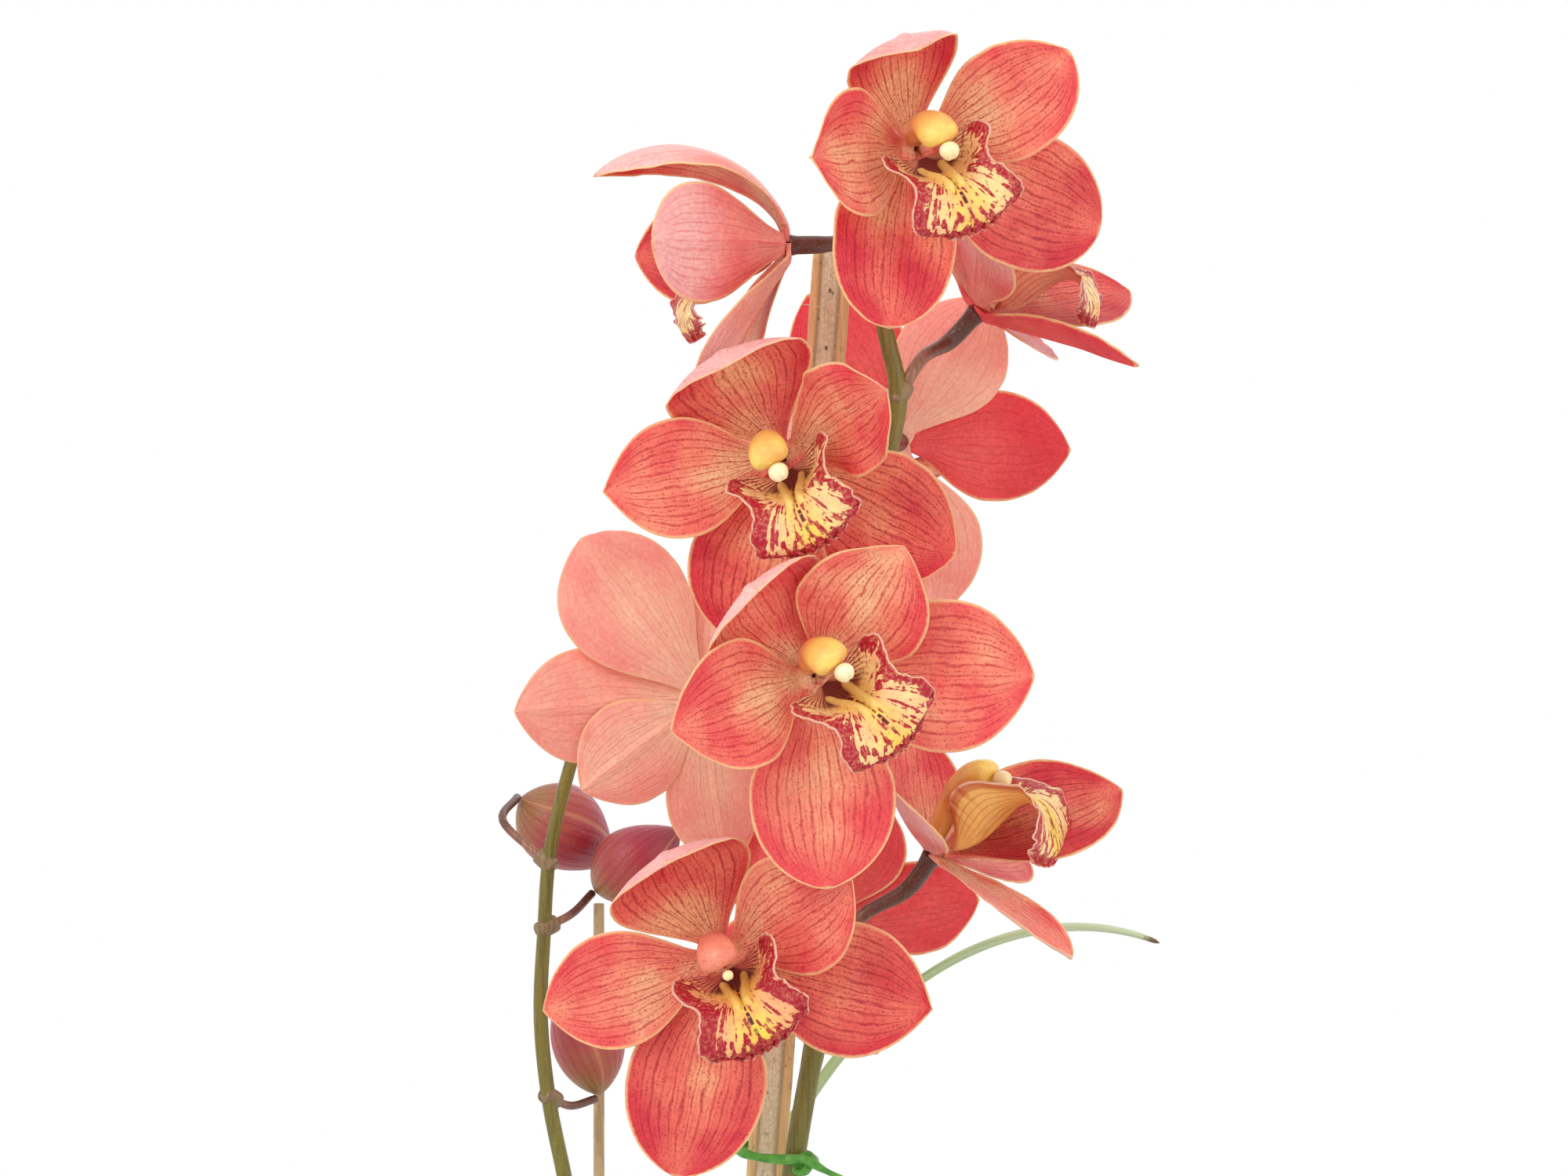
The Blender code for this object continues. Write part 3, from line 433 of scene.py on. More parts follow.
def tepal_finish(name, glow, flesh, blush, vein, back, back_blush, veins=6.5, lilac=0.0, edge_gold=1.0,
                 lean=-0.10):
    """Waxy petal skin: glowing near its foot and midrib, blushing towards its tip and sides, with
    dark veins that run the length of it, freckles near the foot, painted glints on its grain and a thin pale
    rim."""
    f = Finish(name, **soft(0.10, (0.003, 0.001, 0.0006), Specular_IOR_Level=0.3))
    along, across, rim, front = (f.reading(k) for k in ("along", "across", "rim", "front"))
    place = f.place()
    broad = f.noise(place, 60, 2)
    fine = f.noise(place, 900, 3)
    grain = f.cells(place, 2600)
    off = abs(across)
    blush_by = along * 0.55 + off * 0.34 + across * lean + (broad - 0.5) * 1.5
    face = f.ramp(blush_by, [(0.04, glow), (0.36, flesh), (0.76, blush)])
    rear = f.ramp(blush_by, [(0.12, back), (0.8, back_blush)])
    rear = f.mix(f.between(off, 0.0, 0.1, 0.5 * lilac + 0.25, 0.0), rear, back_blush)
    if lilac:
        rear = f.mix(f.between(along, 0.35, 0.75, 0.0, 1.6 * lilac), rear, LILAC)

    warp = f.noise(f.joined(along * 2.6, across * 3.0, broad), 2.2, 2)
    warped = across + (warp - 0.5) * 0.15
    broken = f.between(f.noise(f.joined(along * 9.0, across * 14.0, 0.0), 1.0, 2), 0.32, 0.6)
    main = f.lines(warped, veins, 0.02, 0.17) * (broken * 0.6 + 0.4)
    thin = f.lines(warped, 2 * veins, 0.04, 0.22) * (broken * 0.45)
    ends = f.between(along, 0.0, 0.1) * f.between(along, 0.98, 0.8)
    line = f.higher(main, thin) * ends * f.between(off, 0.98, 0.8)
    face = f.mix(line * 0.7, face, vein)
    rear = f.mix(line * 0.5, rear, back_blush)

    beside = f.lines(warped, 2 * veins, 0.1, 0.5)
    stipple = f.dots(place, 1150, 0.16, 0.42) * (beside * 0.45 + 0.24)
    face = f.mix(stipple, face, vein)
    near_foot = f.between(along, 0.44, 0.06) * f.between(off, 0.8, 0.25)
    freckles = f.dots(place, 700, 0.2, 0.36) * f.between(fine, 0.42, 0.56)
    face = f.mix(freckles * near_foot * 0.7, face, vein)

    colour = f.mix(front, rear, face)
    # painted glints: the cells of the grain lightened towards a warm white, as if each caught the light
    colour = f.mix(f.between(grain, 0.15, 0.75, 0.0, 0.35), colour, PAINTED_GLINT, "SOFT_LIGHT")
    colour = f.mix(f.between(fine, 0.35, 0.7, 0.2, 0.0), colour, vein, "MULTIPLY")
    wavering = rim + (fine - 0.5) * 0.9
    glowing = f.between(wavering, 0.15, 1.05, 0.9 * edge_gold, 0.0) * f.between(along, 0.04, 0.2)
    glowing = glowing * f.between(broad, 0.3, 0.55, 0.55, 1.0)
    colour = f.mix(glowing, colour, GOLD_RIM)

    height = line * -0.55 + grain * 0.3 + fine * 0.25
    return f.done(colour, f.between(fine, 0.3, 0.7, 0.36, 0.52), height, 0.0004, 0.7)


def lip_finish(name, cream, yellow, stain, throat, outside, stain_reach=1.0):
    """The lip: cream and yellow, stained crimson in a ragged band within its margin and in dashes
    that run towards it, striped in the throat and darkened there by painted shade under the column, with a
    thin pale frill."""
    f = Finish(name, **soft(0.15, (0.004, 0.002, 0.0012), Specular_IOR_Level=0.32))
    along, across, rim = (f.reading(k) for k in ("along", "across", "rim"))
    front, keel, ray = (f.reading(k) for k in ("front", "keel", "ray"))
    place = f.place()
    fine = f.noise(place, 1100, 2)
    broad = f.noise(place, 160, 2)
    off = abs(across)
    base = f.mix(f.between(off, 0.55, 0.05), cream, yellow)
    base = f.mix(f.between(broad, 0.35, 0.7, 0.0, 0.45), base, outside)

    dash = f.noise(f.joined(ray * 11.0, rim * 0.26, 0.0), 1.0, 2)
    blotch = f.noise(place, 480, 3, 0.6)
    mark = dash + (blotch - 0.5) * 0.45
    band = 3.0 * stain_reach
    needed = f.between(rim, 0.5 * band, 1.35 * band, 0.3, 0.475) + rim * 0.009
    needed = needed + f.between(along, 0.44, 0.56, 0.05, 0.0)
    stained = f.between(mark - needed, -0.012, 0.022) * f.between(along, 0.16, 0.3)
    bare = f.between(fine, 0.44, 0.66) * 0.22
    stained = stained - stained * bare
    face = f.mix(stained, base, stain)

    freckles = f.dots(place, 760, 0.18, 0.34) * f.between(blotch, 0.46, 0.6)
    face = f.mix(freckles * 0.75, face, stain)
    wavering = across + (broad - 0.5) * 0.07
    stripes = f.lines(wavering, 11.0, 0.1, 0.26) * f.between(along, 0.42, 0.22)
    inner = f.mix(f.between(along, 0.34, 0.12), face, outside)
    # painted shade: the throat darkened under the column, where shade falls; the stripes below are the lip's
    # own marks
    shade = f.between(along, 0.38, 0.26) * f.between(off, 0.62, 0.32)
    inner = f.mix(shade * 0.9, inner, throat)
    face = f.mix(stripes * f.between(blotch, 0.3, 0.52, 0.35, 0.95), inner, throat)
    face = f.mix(f.between(keel, 0.15, 0.6, 0.0, 0.85), face, halfway(cream, yellow))
    broken = f.between(f.noise(f.joined(along * 26.0, 0.0, 0.0), 1.0, 1), 0.4, 0.5)
    middle = f.between(off, 0.022, 0.045, 1.0, 0.0) * f.between(along, 0.2, 0.34)
    middle = middle * f.between(along, 0.9, 0.7) * broken
    face = f.mix(middle * f.between(keel, 0.6, 0.2), face, throat)

    rear = f.mix(f.lines(wavering, 9.0, 0.04, 0.22) * 0.35, outside, stain)
    rear = f.mix(f.between(rim, 3.0, 0.8, 0.0, 0.65), rear, stain)
    colour = f.mix(front, rear, face)
    frill = f.between(rim + (fine - 0.5) * 0.9, 0.12, 0.5, 0.85, 0.0) * f.between(along, 0.2, 0.34)
    colour = f.mix(frill, colour, PEACH_RIM)
    colour = f.mix(f.between(fine, 0.35, 0.7, 0.2, 0.0), colour, (0.75, 0.4, 0.2), "MULTIPLY")
    height = fine * 0.5 + stained * -0.25 + f.cells(place, 2400) * 0.3
    return f.done(colour, f.between(fine, 0.3, 0.7, 0.34, 0.52), height, 0.0004, 0.6)


def wax_finish(name, base, shade, tip, freckle=0.0):
    """Smooth waxy tissue: base colour turning to a tip colour, partly its own and partly painted shade,
    mottled, with fine freckles.
    """
    f = Finish(name, **soft(0.2, (0.004, 0.002, 0.001), Coat_Weight=0.1, Coat_Roughness=0.25))
    place = f.place()
    fine = f.noise(place, 500, 3)
    grain = f.cells(place, 2600)
    # painted shade: darker along the sides of column and cap, lightest at the end that faces out; partly the
    # column's own deeper base colour
    colour = f.mix(f.between(f.reading("along"), 0.4, 0.86), base, tip)
    colour = f.mix(f.between(f.noise(place, 130, 2), 0.38, 0.68), colour, shade)
    colour = f.mix(f.between(fine, 0.4, 0.66, 0.0, 0.35), colour, shade)
    colour = f.mix(f.dots(place, 900, 0.16, 0.3, freckle), colour, FRECKLE_RED)
    height = fine + grain * 0.4
    return f.done(colour, f.between(fine, 0.3, 0.7, 0.28, 0.46), height, 0.00025, 0.5)


def stem_finish():
    """Stems: olive green streaked along their length (kind 0); stalks purple-brown, paler and
    pinkish at the foot, darkest under the flower (kind 1); bracts papery brown (kind 2)."""
    f = Finish("stem_skin", **soft(0.05, (0.002, 0.001, 0.0005), Coat_Weight=0.12, Coat_Roughness=0.3))
    along, kind = f.reading("along"), f.reading("kind")
    place = f.place()
    streak = f.noise(f.stretched(place, 1.0, 1.0, 0.06), 900, 3)
    broad = f.noise(place, 60, 2)
    fine = f.noise(place, 1500, 2)
    green = f.ramp(along * 0.6 + broad * 0.5, [(0.15, (0.13, 0.16, 0.012)), (0.55, (0.18, 0.17, 0.012)),
                                               (0.95, (0.22, 0.14, 0.012))])
    stalk = f.ramp(along, [(0.0, (0.42, 0.2, 0.1)), (0.22, (0.4, 0.17, 0.1)), (0.45, (0.16, 0.045, 0.03)),
                           (1.0, (0.11, 0.02, 0.016))])
    papery = f.mix(broad, (0.34, 0.22, 0.1), (0.2, 0.11, 0.05))
    colour = f.mix(f.between(kind, 0.4, 0.6), green, stalk)
    colour = f.mix(f.between(kind, 1.4, 1.6), colour, papery)
    colour = f.mix(f.between(streak, 0.4, 0.65, 0.0, 0.45), colour, (0.05, 0.035, 0.012))
    colour = f.mix(f.between(fine, 0.55, 0.75, 0.0, 0.25), colour, (0.5, 0.36, 0.14))
    height = streak * 0.8 + fine * 0.3
    return f.done(colour, f.between(fine, 0.3, 0.7, 0.3, 0.48), height, 0.0003, 0.5)


def cane_finish(name, bark, pith):
    """Split cane: smooth fibrous sides, and a paler pithy face flecked dark where it was split."""
    f = Finish(name)
    place = f.place()
    face = f.reading("pith")
    fibre = f.noise(f.stretched(place, 1.0, 1.0, 0.02), 2600, 4, 0.6)
    wide = f.noise(f.stretched(place, 1.0, 1.0, 0.05), 500, 3)
    fine = f.noise(place, 1400, 3)
    side = f.ramp(wide, [(0.25, shaded(bark, 0.62)), (0.5, bark), (0.75, shaded(bark, 1.25))])
    core = f.ramp(fine, [(0.25, shaded(pith, 0.72)), (0.5, pith), (0.8, shaded(pith, 1.2))])
    pits = f.dots(f.stretched(place, 1.0, 1.0, 0.6), 520, 0.14, 0.26)
    pits = pits * f.between(f.noise(place, 330, 2), 0.42, 0.56)
    core = f.mix(pits * 0.85, core, (0.07, 0.045, 0.03))
    colour = f.mix(f.between(face, 0.35, 0.65), side, core)
    colour = f.mix(f.between(abs(face - 0.5), 0.0, 0.28, 0.55, 0.0), colour, (0.16, 0.09, 0.045))
    colour = f.mix(f.between(fibre, 0.42, 0.66, 0.0, 0.4), colour, shaded(bark, 0.6))
    height = fibre + (fine * 0.5 + pits * -1.2)
    return f.done(colour, f.between(fibre, 0.3, 0.7, 0.52, 0.74), height, 0.0006, 0.8)


def leaf_finish(name, deep, light, tip):
    """A strap leaf: close parallel veins, a pale keel, yellower foot and a dry brown point."""
    f = Finish(name, **soft(0.08, (0.001, 0.003, 0.0006), Coat_Weight=0.15, Coat_Roughness=0.3))
    along, across, front = (f.reading(k) for k in ("along", "across", "front"))
    place = f.place()
    broad = f.noise(place, 40, 3)
    fine = f.noise(place, 1200, 2)
    fibre = f.noise(f.joined(along * 10.0, across * 26.0, 0.0), 1.0, 3)
    colour = f.mix(f.between(broad, 0.32, 0.68), deep, light)
    colour = f.mix(f.between(front, 0.4, 0.6, 0.45, 0.0), colour, light)
    colour = f.mix(f.lines(across, 7.0, 0.05, 0.25) * 0.35, colour, light)
    colour = f.mix(f.between(fibre, 0.4, 0.66, 0.0, 0.5), colour, shaded(deep, 0.6))
    colour = f.mix(f.between(abs(across), 0.06, 0.015, 0.0, 0.6), colour, (0.33, 0.42, 0.12))
    colour = f.mix(f.between(along, 0.09, 0.0, 0.0, 0.8), colour, (0.42, 0.44, 0.14))
    colour = f.mix(f.between(along, 0.8, 1.0, 0.0, 0.75), colour, tip)
    colour = f.mix(f.between(along + fine * 0.01, 0.992, 1.0, 0.0, 1.0), colour, (0.16, 0.08, 0.03))
    height = fibre + (f.lines(across, 7.0, 0.05, 0.3) * 0.5 + fine * 0.2)
    return f.done(colour, f.between(broad, 0.3, 0.7, 0.34, 0.5), height, 0.0004, 0.5)


def bulb_finish():
    """Pseudobulb: ribbed green skin under torn straw-coloured sheaths that cling to its lower part."""
    f = Finish("bulb_skin", **soft(0.05, (0.001, 0.002, 0.0006)))
    along, turn = f.reading("along"), f.reading("turn")
    place = f.place()
    broad = f.noise(place, 70, 3)
    fibre = f.noise(f.joined(turn * 70.0, along * 4.0, 0.0), 1.0, 3)
    fine = f.noise(place, 900, 3)
    skin = f.ramp(broad, [(0.3, (0.13, 0.2, 0.04)), (0.55, (0.24, 0.3, 0.07)),
                          (0.75, (0.36, 0.36, 0.11))])
    straw = f.ramp(fibre, [(0.25, (0.2, 0.12, 0.05)), (0.5, (0.42, 0.29, 0.14)),
                           (0.8, (0.56, 0.42, 0.24))])
    torn = along + (fibre - 0.5) * 0.18
    colour = f.mix(f.between(torn, 0.3, 0.34), skin, straw)
    colour = f.mix(f.between(along, 0.1, 0.02, 0.0, 0.8), colour, (0.3, 0.19, 0.08))
    colour = f.mix(f.between(fibre, 0.5, 0.72, 0.0, 0.5), colour, (0.1, 0.07, 0.03))
    height = fibre + (fine * 0.4 + f.between(torn, 0.3, 0.34, 0.0, 0.8))
    return f.done(colour, f.between(fine, 0.3, 0.7, 0.42, 0.66), height, 0.0009, 0.8)


def bud_finish():
    """Bud skin: crimson deepening to the beak, green-tinged at the foot, with seams between sepals."""
    f = Finish("bud_skin", **soft(0.12, (0.003, 0.001, 0.001), Coat_Weight=0.1, Coat_Roughness=0.3))
    along, turn = f.reading("along"), f.reading("turn")
    place = f.place()
    broad, fine = f.noise(place, 120, 3), f.noise(place, 1100, 2)
    colour = f.ramp(along + (broad - 0.5) * 0.5, [(0.05, (0.34, 0.16, 0.04)), (0.28, (0.44, 0.08, 0.06)),
                                                  (0.6, (0.4, 0.03, 0.055)), (0.95, (0.26, 0.015, 0.035))])
    twisted = turn + along * 0.13
    seam = f.lines(twisted + 0.1667, 3.0, 0.01, 0.06)
    veins = f.lines(twisted, 24.0, 0.08, 0.3)
    colour = f.mix(veins * 0.25, colour, (0.25, 0.012, 0.03))
    colour = f.mix(seam * 0.45, colour, (0.7, 0.3, 0.14))
    height = seam * -1.0 + (fine + veins * -0.3)
    return f.done(colour, f.between(fine, 0.3, 0.7, 0.32, 0.48), height, 0.0005, 0.6)


def clay_finish():
    """Terracotta: warm orange-brown with turning marks, pores, soot-soft mottling and lime bloom."""
    f = Finish("terracotta")
    place = f.place()
    broad = f.noise(place, 14, 4, 0.6)
    mid = f.noise(place, 90, 4, 0.6)
    fine = f.noise(place, 1500, 3)
    turning = f.noise(f.stretched(place, 1.0, 1.0, 22.0), 14, 3)
    colour = f.ramp(broad * 0.6 + mid * 0.4, [(0.3, (0.3, 0.105, 0.05)), (0.5, (0.45, 0.175, 0.09)),
                                              (0.7, (0.56, 0.25, 0.145))])
    colour = f.mix(f.between(turning, 0.4, 0.7, 0.0, 0.22), colour, (0.28, 0.1, 0.05))
    bloom = f.between(f.noise(place, 26, 4, 0.65), 0.5, 0.72) * f.between(mid, 0.35, 0.65)
    colour = f.mix(bloom * 0.55, colour, (0.66, 0.52, 0.42))
    colour = f.mix(f.between(fine, 0.56, 0.72, 0.0, 0.35), colour, (0.2, 0.08, 0.045))
    height = turning * 0.6 + (fine * 0.5 + mid)
    return f.done(colour, f.between(mid, 0.3, 0.7, 0.72, 0.92), height, 0.0007, 0.7)


def bark_finish(name, dark, mid_tone, light):
    """Bark chips: each a slightly different brown, fibrous and cracked."""
    f = Finish(name)
    place = f.place()
    tone = f.reading("kind")
    chip = f.noise(place, 900, 4, 0.65)
    fibre = f.noise(f.stretched(place, 1.0, 0.25, 0.6), 1300, 3)
    colour = f.ramp(tone * 0.7 + chip * 0.35, [(0.15, dark), (0.55, mid_tone), (0.95, light)])
    colour = f.mix(f.between(fibre, 0.45, 0.7, 0.0, 0.55), colour, shaded(dark, 0.4))
    return f.done(colour, f.between(chip, 0.3, 0.7, 0.75, 0.95), chip + fibre, 0.001, 0.9)


def tie_finish():
    """Soft plastic tie: bright green, faintly ribbed lengthwise, paler where it was stretched."""
    f = Finish("tie_green", **soft(0.1, (0.001, 0.003, 0.001)))
    place = f.place()
    mottled = f.noise(place, 500, 3)
    ribs = f.lines(f.reading("turn"), 16.0, 0.1, 0.4)
    colour = f.ramp(mottled, [(0.3, (0.07, 0.3, 0.035)), (0.55, (0.13, 0.46, 0.06)),
                              (0.8, (0.28, 0.6, 0.16))])
    colour = f.mix(ribs * 0.25, colour, (0.04, 0.2, 0.02))
    return f.done(colour, f.between(mottled, 0.3, 0.7, 0.4, 0.58), ribs + mottled, 0.0003, 0.5)


def floor_finish():
    """Plain pale floor with the faintest mottling."""
    f = Finish("pale_floor")
    cloud = f.noise(f.place(), 6, 3)
    colour = f.mix(cloud, (0.8, 0.79, 0.78), (0.84, 0.83, 0.82))
    return f.done(colour, f.between(cloud, 0.3, 0.7, 0.55, 0.7), cloud, 0.0005, 0.1)


# ---- Flowers, in millimetres in their own frames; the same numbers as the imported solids

HUB_RADIUS = 4.2
CLAW_HALF_WIDTH = 2.9
CLAW_LENGTH = 3.4          # how far a tepal's foot runs on inside the hub
TEPAL = dict(length=48, width=32, lift=20, arch=-12, bend=1.0, cup=16, cup_tip=None, tilt=0, sweep=0,
             peak=0.52, point=0.85, ripple=0.0, phase=0.0, groove=0.5, roll_left=0.0, roll_right=0.0)
DORSAL = dict(TEPAL, angle=90, length=44, width=38, lift=16, arch=110, bend=1.9, cup=20, cup_tip=30)
LEFT_PETAL = dict(TEPAL, angle=165, width=30, lift=28, arch=-22, cup=18)
RIGHT_PETAL = dict(TEPAL, angle=15, width=30, lift=28, arch=-22, cup=18)
LEFT_SEPAL = dict(TEPAL, angle=229, length=54, width=36, lift=12, cup=14)
RIGHT_SEPAL = dict(TEPAL, angle=311, length=54, width=36, lift=12, cup=14)
FLOWERS = [
    dict(number=1, turn=14, nod=-2, roll=22, joint=10,
         dorsal=dict(angle=86, length=44, arch=125, width=31),
         left=dict(angle=166, length=37, width=33, lift=42, arch=-10, point=1.0),
         right=dict(angle=1, length=43, width=30, lift=38, sweep=25, point=0.7),
         low_left=dict(angle=226, length=46, width=33, lift=24, sweep=22, peak=0.45, point=0.5),
         low_right=dict(angle=312, length=50, width=36, lift=5, sweep=10, point=0.6)),
    dict(number=2, turn=-78, nod=-2, roll=0, joint=9,
         dorsal=dict(length=60, width=34, lift=20, arch=108, bend=1.0, cup=24, cup_tip=45),
         left=dict(angle=180, length=42, width=28, lift=48, arch=4),
         right=dict(angle=0, length=44, width=31, lift=58, arch=4, peak=0.6, point=0.7),
         low_left=dict(angle=240, length=48, width=28, lift=22, arch=-14),
         low_right=dict(angle=286, length=52, width=28, lift=38, arch=-8, tilt=30)),
    dict(number=3, turn=76, nod=46, roll=0, joint=7, lip_curl=30,
         dorsal=dict(angle=70, length=34, width=26, lift=14, arch=40, bend=1.0, cup=24),
         left=dict(angle=162, length=32, width=25, lift=34, arch=0, cup=24),
         right=dict(angle=-28, length=46, width=30, lift=36, arch=0),
         low_left=dict(angle=243, length=50, width=19, lift=28, arch=-8, cup=34, point=0.6),
         low_right=dict(angle=341, length=35, width=26, lift=4, arch=0)),
    dict(number=4, turn=-6, nod=-4, roll=28, joint=6,
         dorsal=dict(angle=88, length=46, width=41, lift=12, arch=125),
         left=dict(angle=162, length=43, width=31, lift=27, point=1.0),
         right=dict(angle=4, length=44, width=30, lift=40, arch=14, peak=0.5, ripple=1.5),
         low_left=dict(angle=229, length=45, width=36, point=0.75),
         low_right=dict(angle=298, length=46, width=35, lift=8, sweep=10, point=0.8)),
    dict(number=5, turn=172, nod=4, roll=32, joint=6,
         dorsal=dict(angle=90, length=42, lift=10, arch=0, bend=1.0, width=32),
         left=dict(angle=152, length=44, width=31),
         right=dict(angle=25, length=45, width=34, lift=24),
         low_left=dict(angle=229, length=46),
         low_right=dict(angle=311, length=46)),
    dict(number=6, turn=-158, nod=0, roll=-32, joint=5,
         via=[(0.0415, 0.0100, 0.6410), (0.0300, 0.0190, 0.6350)],
         dorsal=dict(angle=85, length=50, lift=8, arch=0, bend=1.0, width=38, peak=0.58, point=0.7),
         left=dict(angle=154, length=42, lift=24),
         right=dict(angle=28, length=47, width=32, lift=22),
         low_left=dict(angle=288, length=45, width=29, lift=20),
         low_right=dict(angle=354, length=37, width=29, lift=14, arch=0)),
    dict(number=7, turn=12, nod=-2, roll=38, joint=4, lip_turn=5, lip_nod=3, lip_roll=4, column_nod=8,
         dorsal=dict(angle=95, length=44, width=39, arch=98, cup=8),
         left=dict(angle=159, length=44, width=33, lift=40, point=1.0, peak=0.48),
         right=dict(angle=22, length=38, width=35, lift=38, peak=0.46, point=0.95),
         low_left=dict(angle=235, length=50, width=38, point=0.65, peak=0.52),
         low_right=dict(angle=322, length=52, width=39, lift=20, peak=0.55, point=0.80)),
    dict(number=8, turn=58, nod=50, roll=0, joint=2, lip_nod=6, lip_size=1.15, lip_curl=48, lip_turn=14,
         dorsal=dict(angle=60, length=40, width=30, lift=6, arch=26, bend=1.0, cup=20),
         left=dict(angle=172, length=34, width=26, lift=24, arch=10, cup=30),
         right=dict(angle=-23, length=50, width=38, lift=41, arch=0),
         low_left=dict(angle=267, length=45, width=22, lift=13, arch=-6, cup=24),
         low_right=dict(angle=350, length=34, width=26, lift=4, arch=0)),
    dict(number=9, turn=0, nod=0, roll=28, joint=1, cap_size=0.55,
         dorsal=dict(angle=90, length=46, width=40, arch=105),
         left=dict(angle=168, length=44, width=30, lift=18, peak=0.55, point=0.95),
         right=dict(angle=5, length=38, width=33, lift=34),
         low_left=dict(angle=230, length=53, width=36, point=0.65),
         low_right=dict(angle=318, length=51, width=35, lift=8, peak=0.55, point=0.95)),
    dict(number=10, turn=168, nod=6, roll=20, joint=2,
         dorsal=dict(angle=92, length=34, lift=10, arch=10, bend=1.0, width=28),
         left=dict(angle=152, length=38, width=26, lift=14, arch=0),
         right=dict(angle=14, length=36, width=26),
         low_left=dict(angle=232, length=36, width=28, lift=20),
         low_right=dict(angle=308, length=36, width=28, lift=20)),
]

LIP_ALONG = np.array([0.0, 0.12, 0.26, 0.38, 0.46, 0.52, 0.58, 0.66, 0.76, 0.88, 1.0])
LIP_UP = np.array([-3.4, -6.0, -8.0, -9.0, -9.7, -10.5, -11.6, -14.0, -17.7, -21.5, -24.4])
LIP_OUT = np.array([3.4, 6.4, 11.0, 15.6, 18.7, 21.0, 23.2, 25.6, 27.3, 27.3, 25.0])
LIP_HALF_WIDTH = np.array([2.4, 8.6, 14.6, 17.0, 16.2, 12.2, 10.9, 13.6, 15.0, 12.8, 6.8])
LIP_WRAP = np.array([30.0, 80.0, 88.0, 84.0, 74.0, 62.0, 44.0, 20.0, -2.0, -22.0, -30.0])
LIP_FOLD = 0.5
LIP_LENGTH = 34.0
KEEL_HEIGHT = 1.5
COLUMN_UP = np.array([2.0, 3.4, 4.6, 4.9, 3.6, 1.2, -1.2])
COLUMN_OUT = np.array([3.6, 8.0, 13.0, 18.5, 23.5, 27.0, 28.4])
COLUMN_RADIUS = np.array([2.2, 3.0, 3.4, 3.9, 4.5, 4.1, 2.9])


def flower_axes(flower):
    """The flower's right, up and out as the columns of a matrix."""
    turn, nod, roll = (math.radians(flower[key]) for key in ("turn", "nod", "roll"))
    out = np.array([math.sin(turn) * math.cos(nod), -math.cos(turn) * math.cos(nod), math.sin(nod)])
    level = np.cross([0.0, 0.0, 1.0], out)
    level /= np.linalg.norm(level)
    upright = np.cross(out, level)
    right = math.cos(roll) * level + math.sin(roll) * upright
    up = math.cos(roll) * upright - math.sin(roll) * level
    return np.stack([right, up, out], axis=1)


def lip_axes(flower):
    """Axes of the lip, turned a little further than the flower's where one faces aside."""
    return flower_axes({key: flower[key] + flower.get("lip_" + key, 0) for key in ("turn", "nod", "roll")})


def flower_hub(flower):
    """The flower's hub in metres, from where its packed column is: the column's line in its own
    frame is moved so that its far end's round cap and its foot span the node's box."""
    low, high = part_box(f"flower_{flower['number']}_column")
    middle = 0.5 * (np.array(low) + np.array(high))
    around = np.linspace(0, 2 * np.pi, 24, endpoint=False)
    line = np.stack([0 * COLUMN_UP, COLUMN_UP, COLUMN_OUT], axis=1)
    ahead = np.gradient(line, axis=0)
    ahead /= np.linalg.norm(ahead, axis=1, keepdims=True)
    right = np.array([1.0, 0.0, 0.0])
    lifted = np.cross(ahead, right)
    spokes = np.cos(around)[None, :, None] * right + np.sin(around)[None, :, None] * lifted[:, None]
    rings = line[:, None] + COLUMN_RADIUS[:, None, None] * spokes
    turned = (rings.reshape(-1, 3) * MM) @ flower_axes(flower).T
    return middle - 0.5 * (turned.min(0) + turned.max(0))


def to_world(flower, points, axes="axes"):
    """Points of a flower's frame, in millimetres, set on its hub in metres."""
    return flower["place"] + (points * MM) @ flower[axes].T


def tepal_half_width(t, tepal):
    """Half the width: the claw's at the foot, widest at the peak, closing to a point at the tip."""
    peak, half = tepal["peak"], 0.5 * tepal["width"]
    rise = np.sin(0.5 * np.pi * np.clip(t / peak, 0, 1)) ** 1.3
    close = (1 - np.clip((t - peak) / (1 - peak), 0, 1) ** 2.4) ** tepal["point"]
    return np.where(t < peak, CLAW_HALF_WIDTH + (half - CLAW_HALF_WIDTH) * rise, half * close)


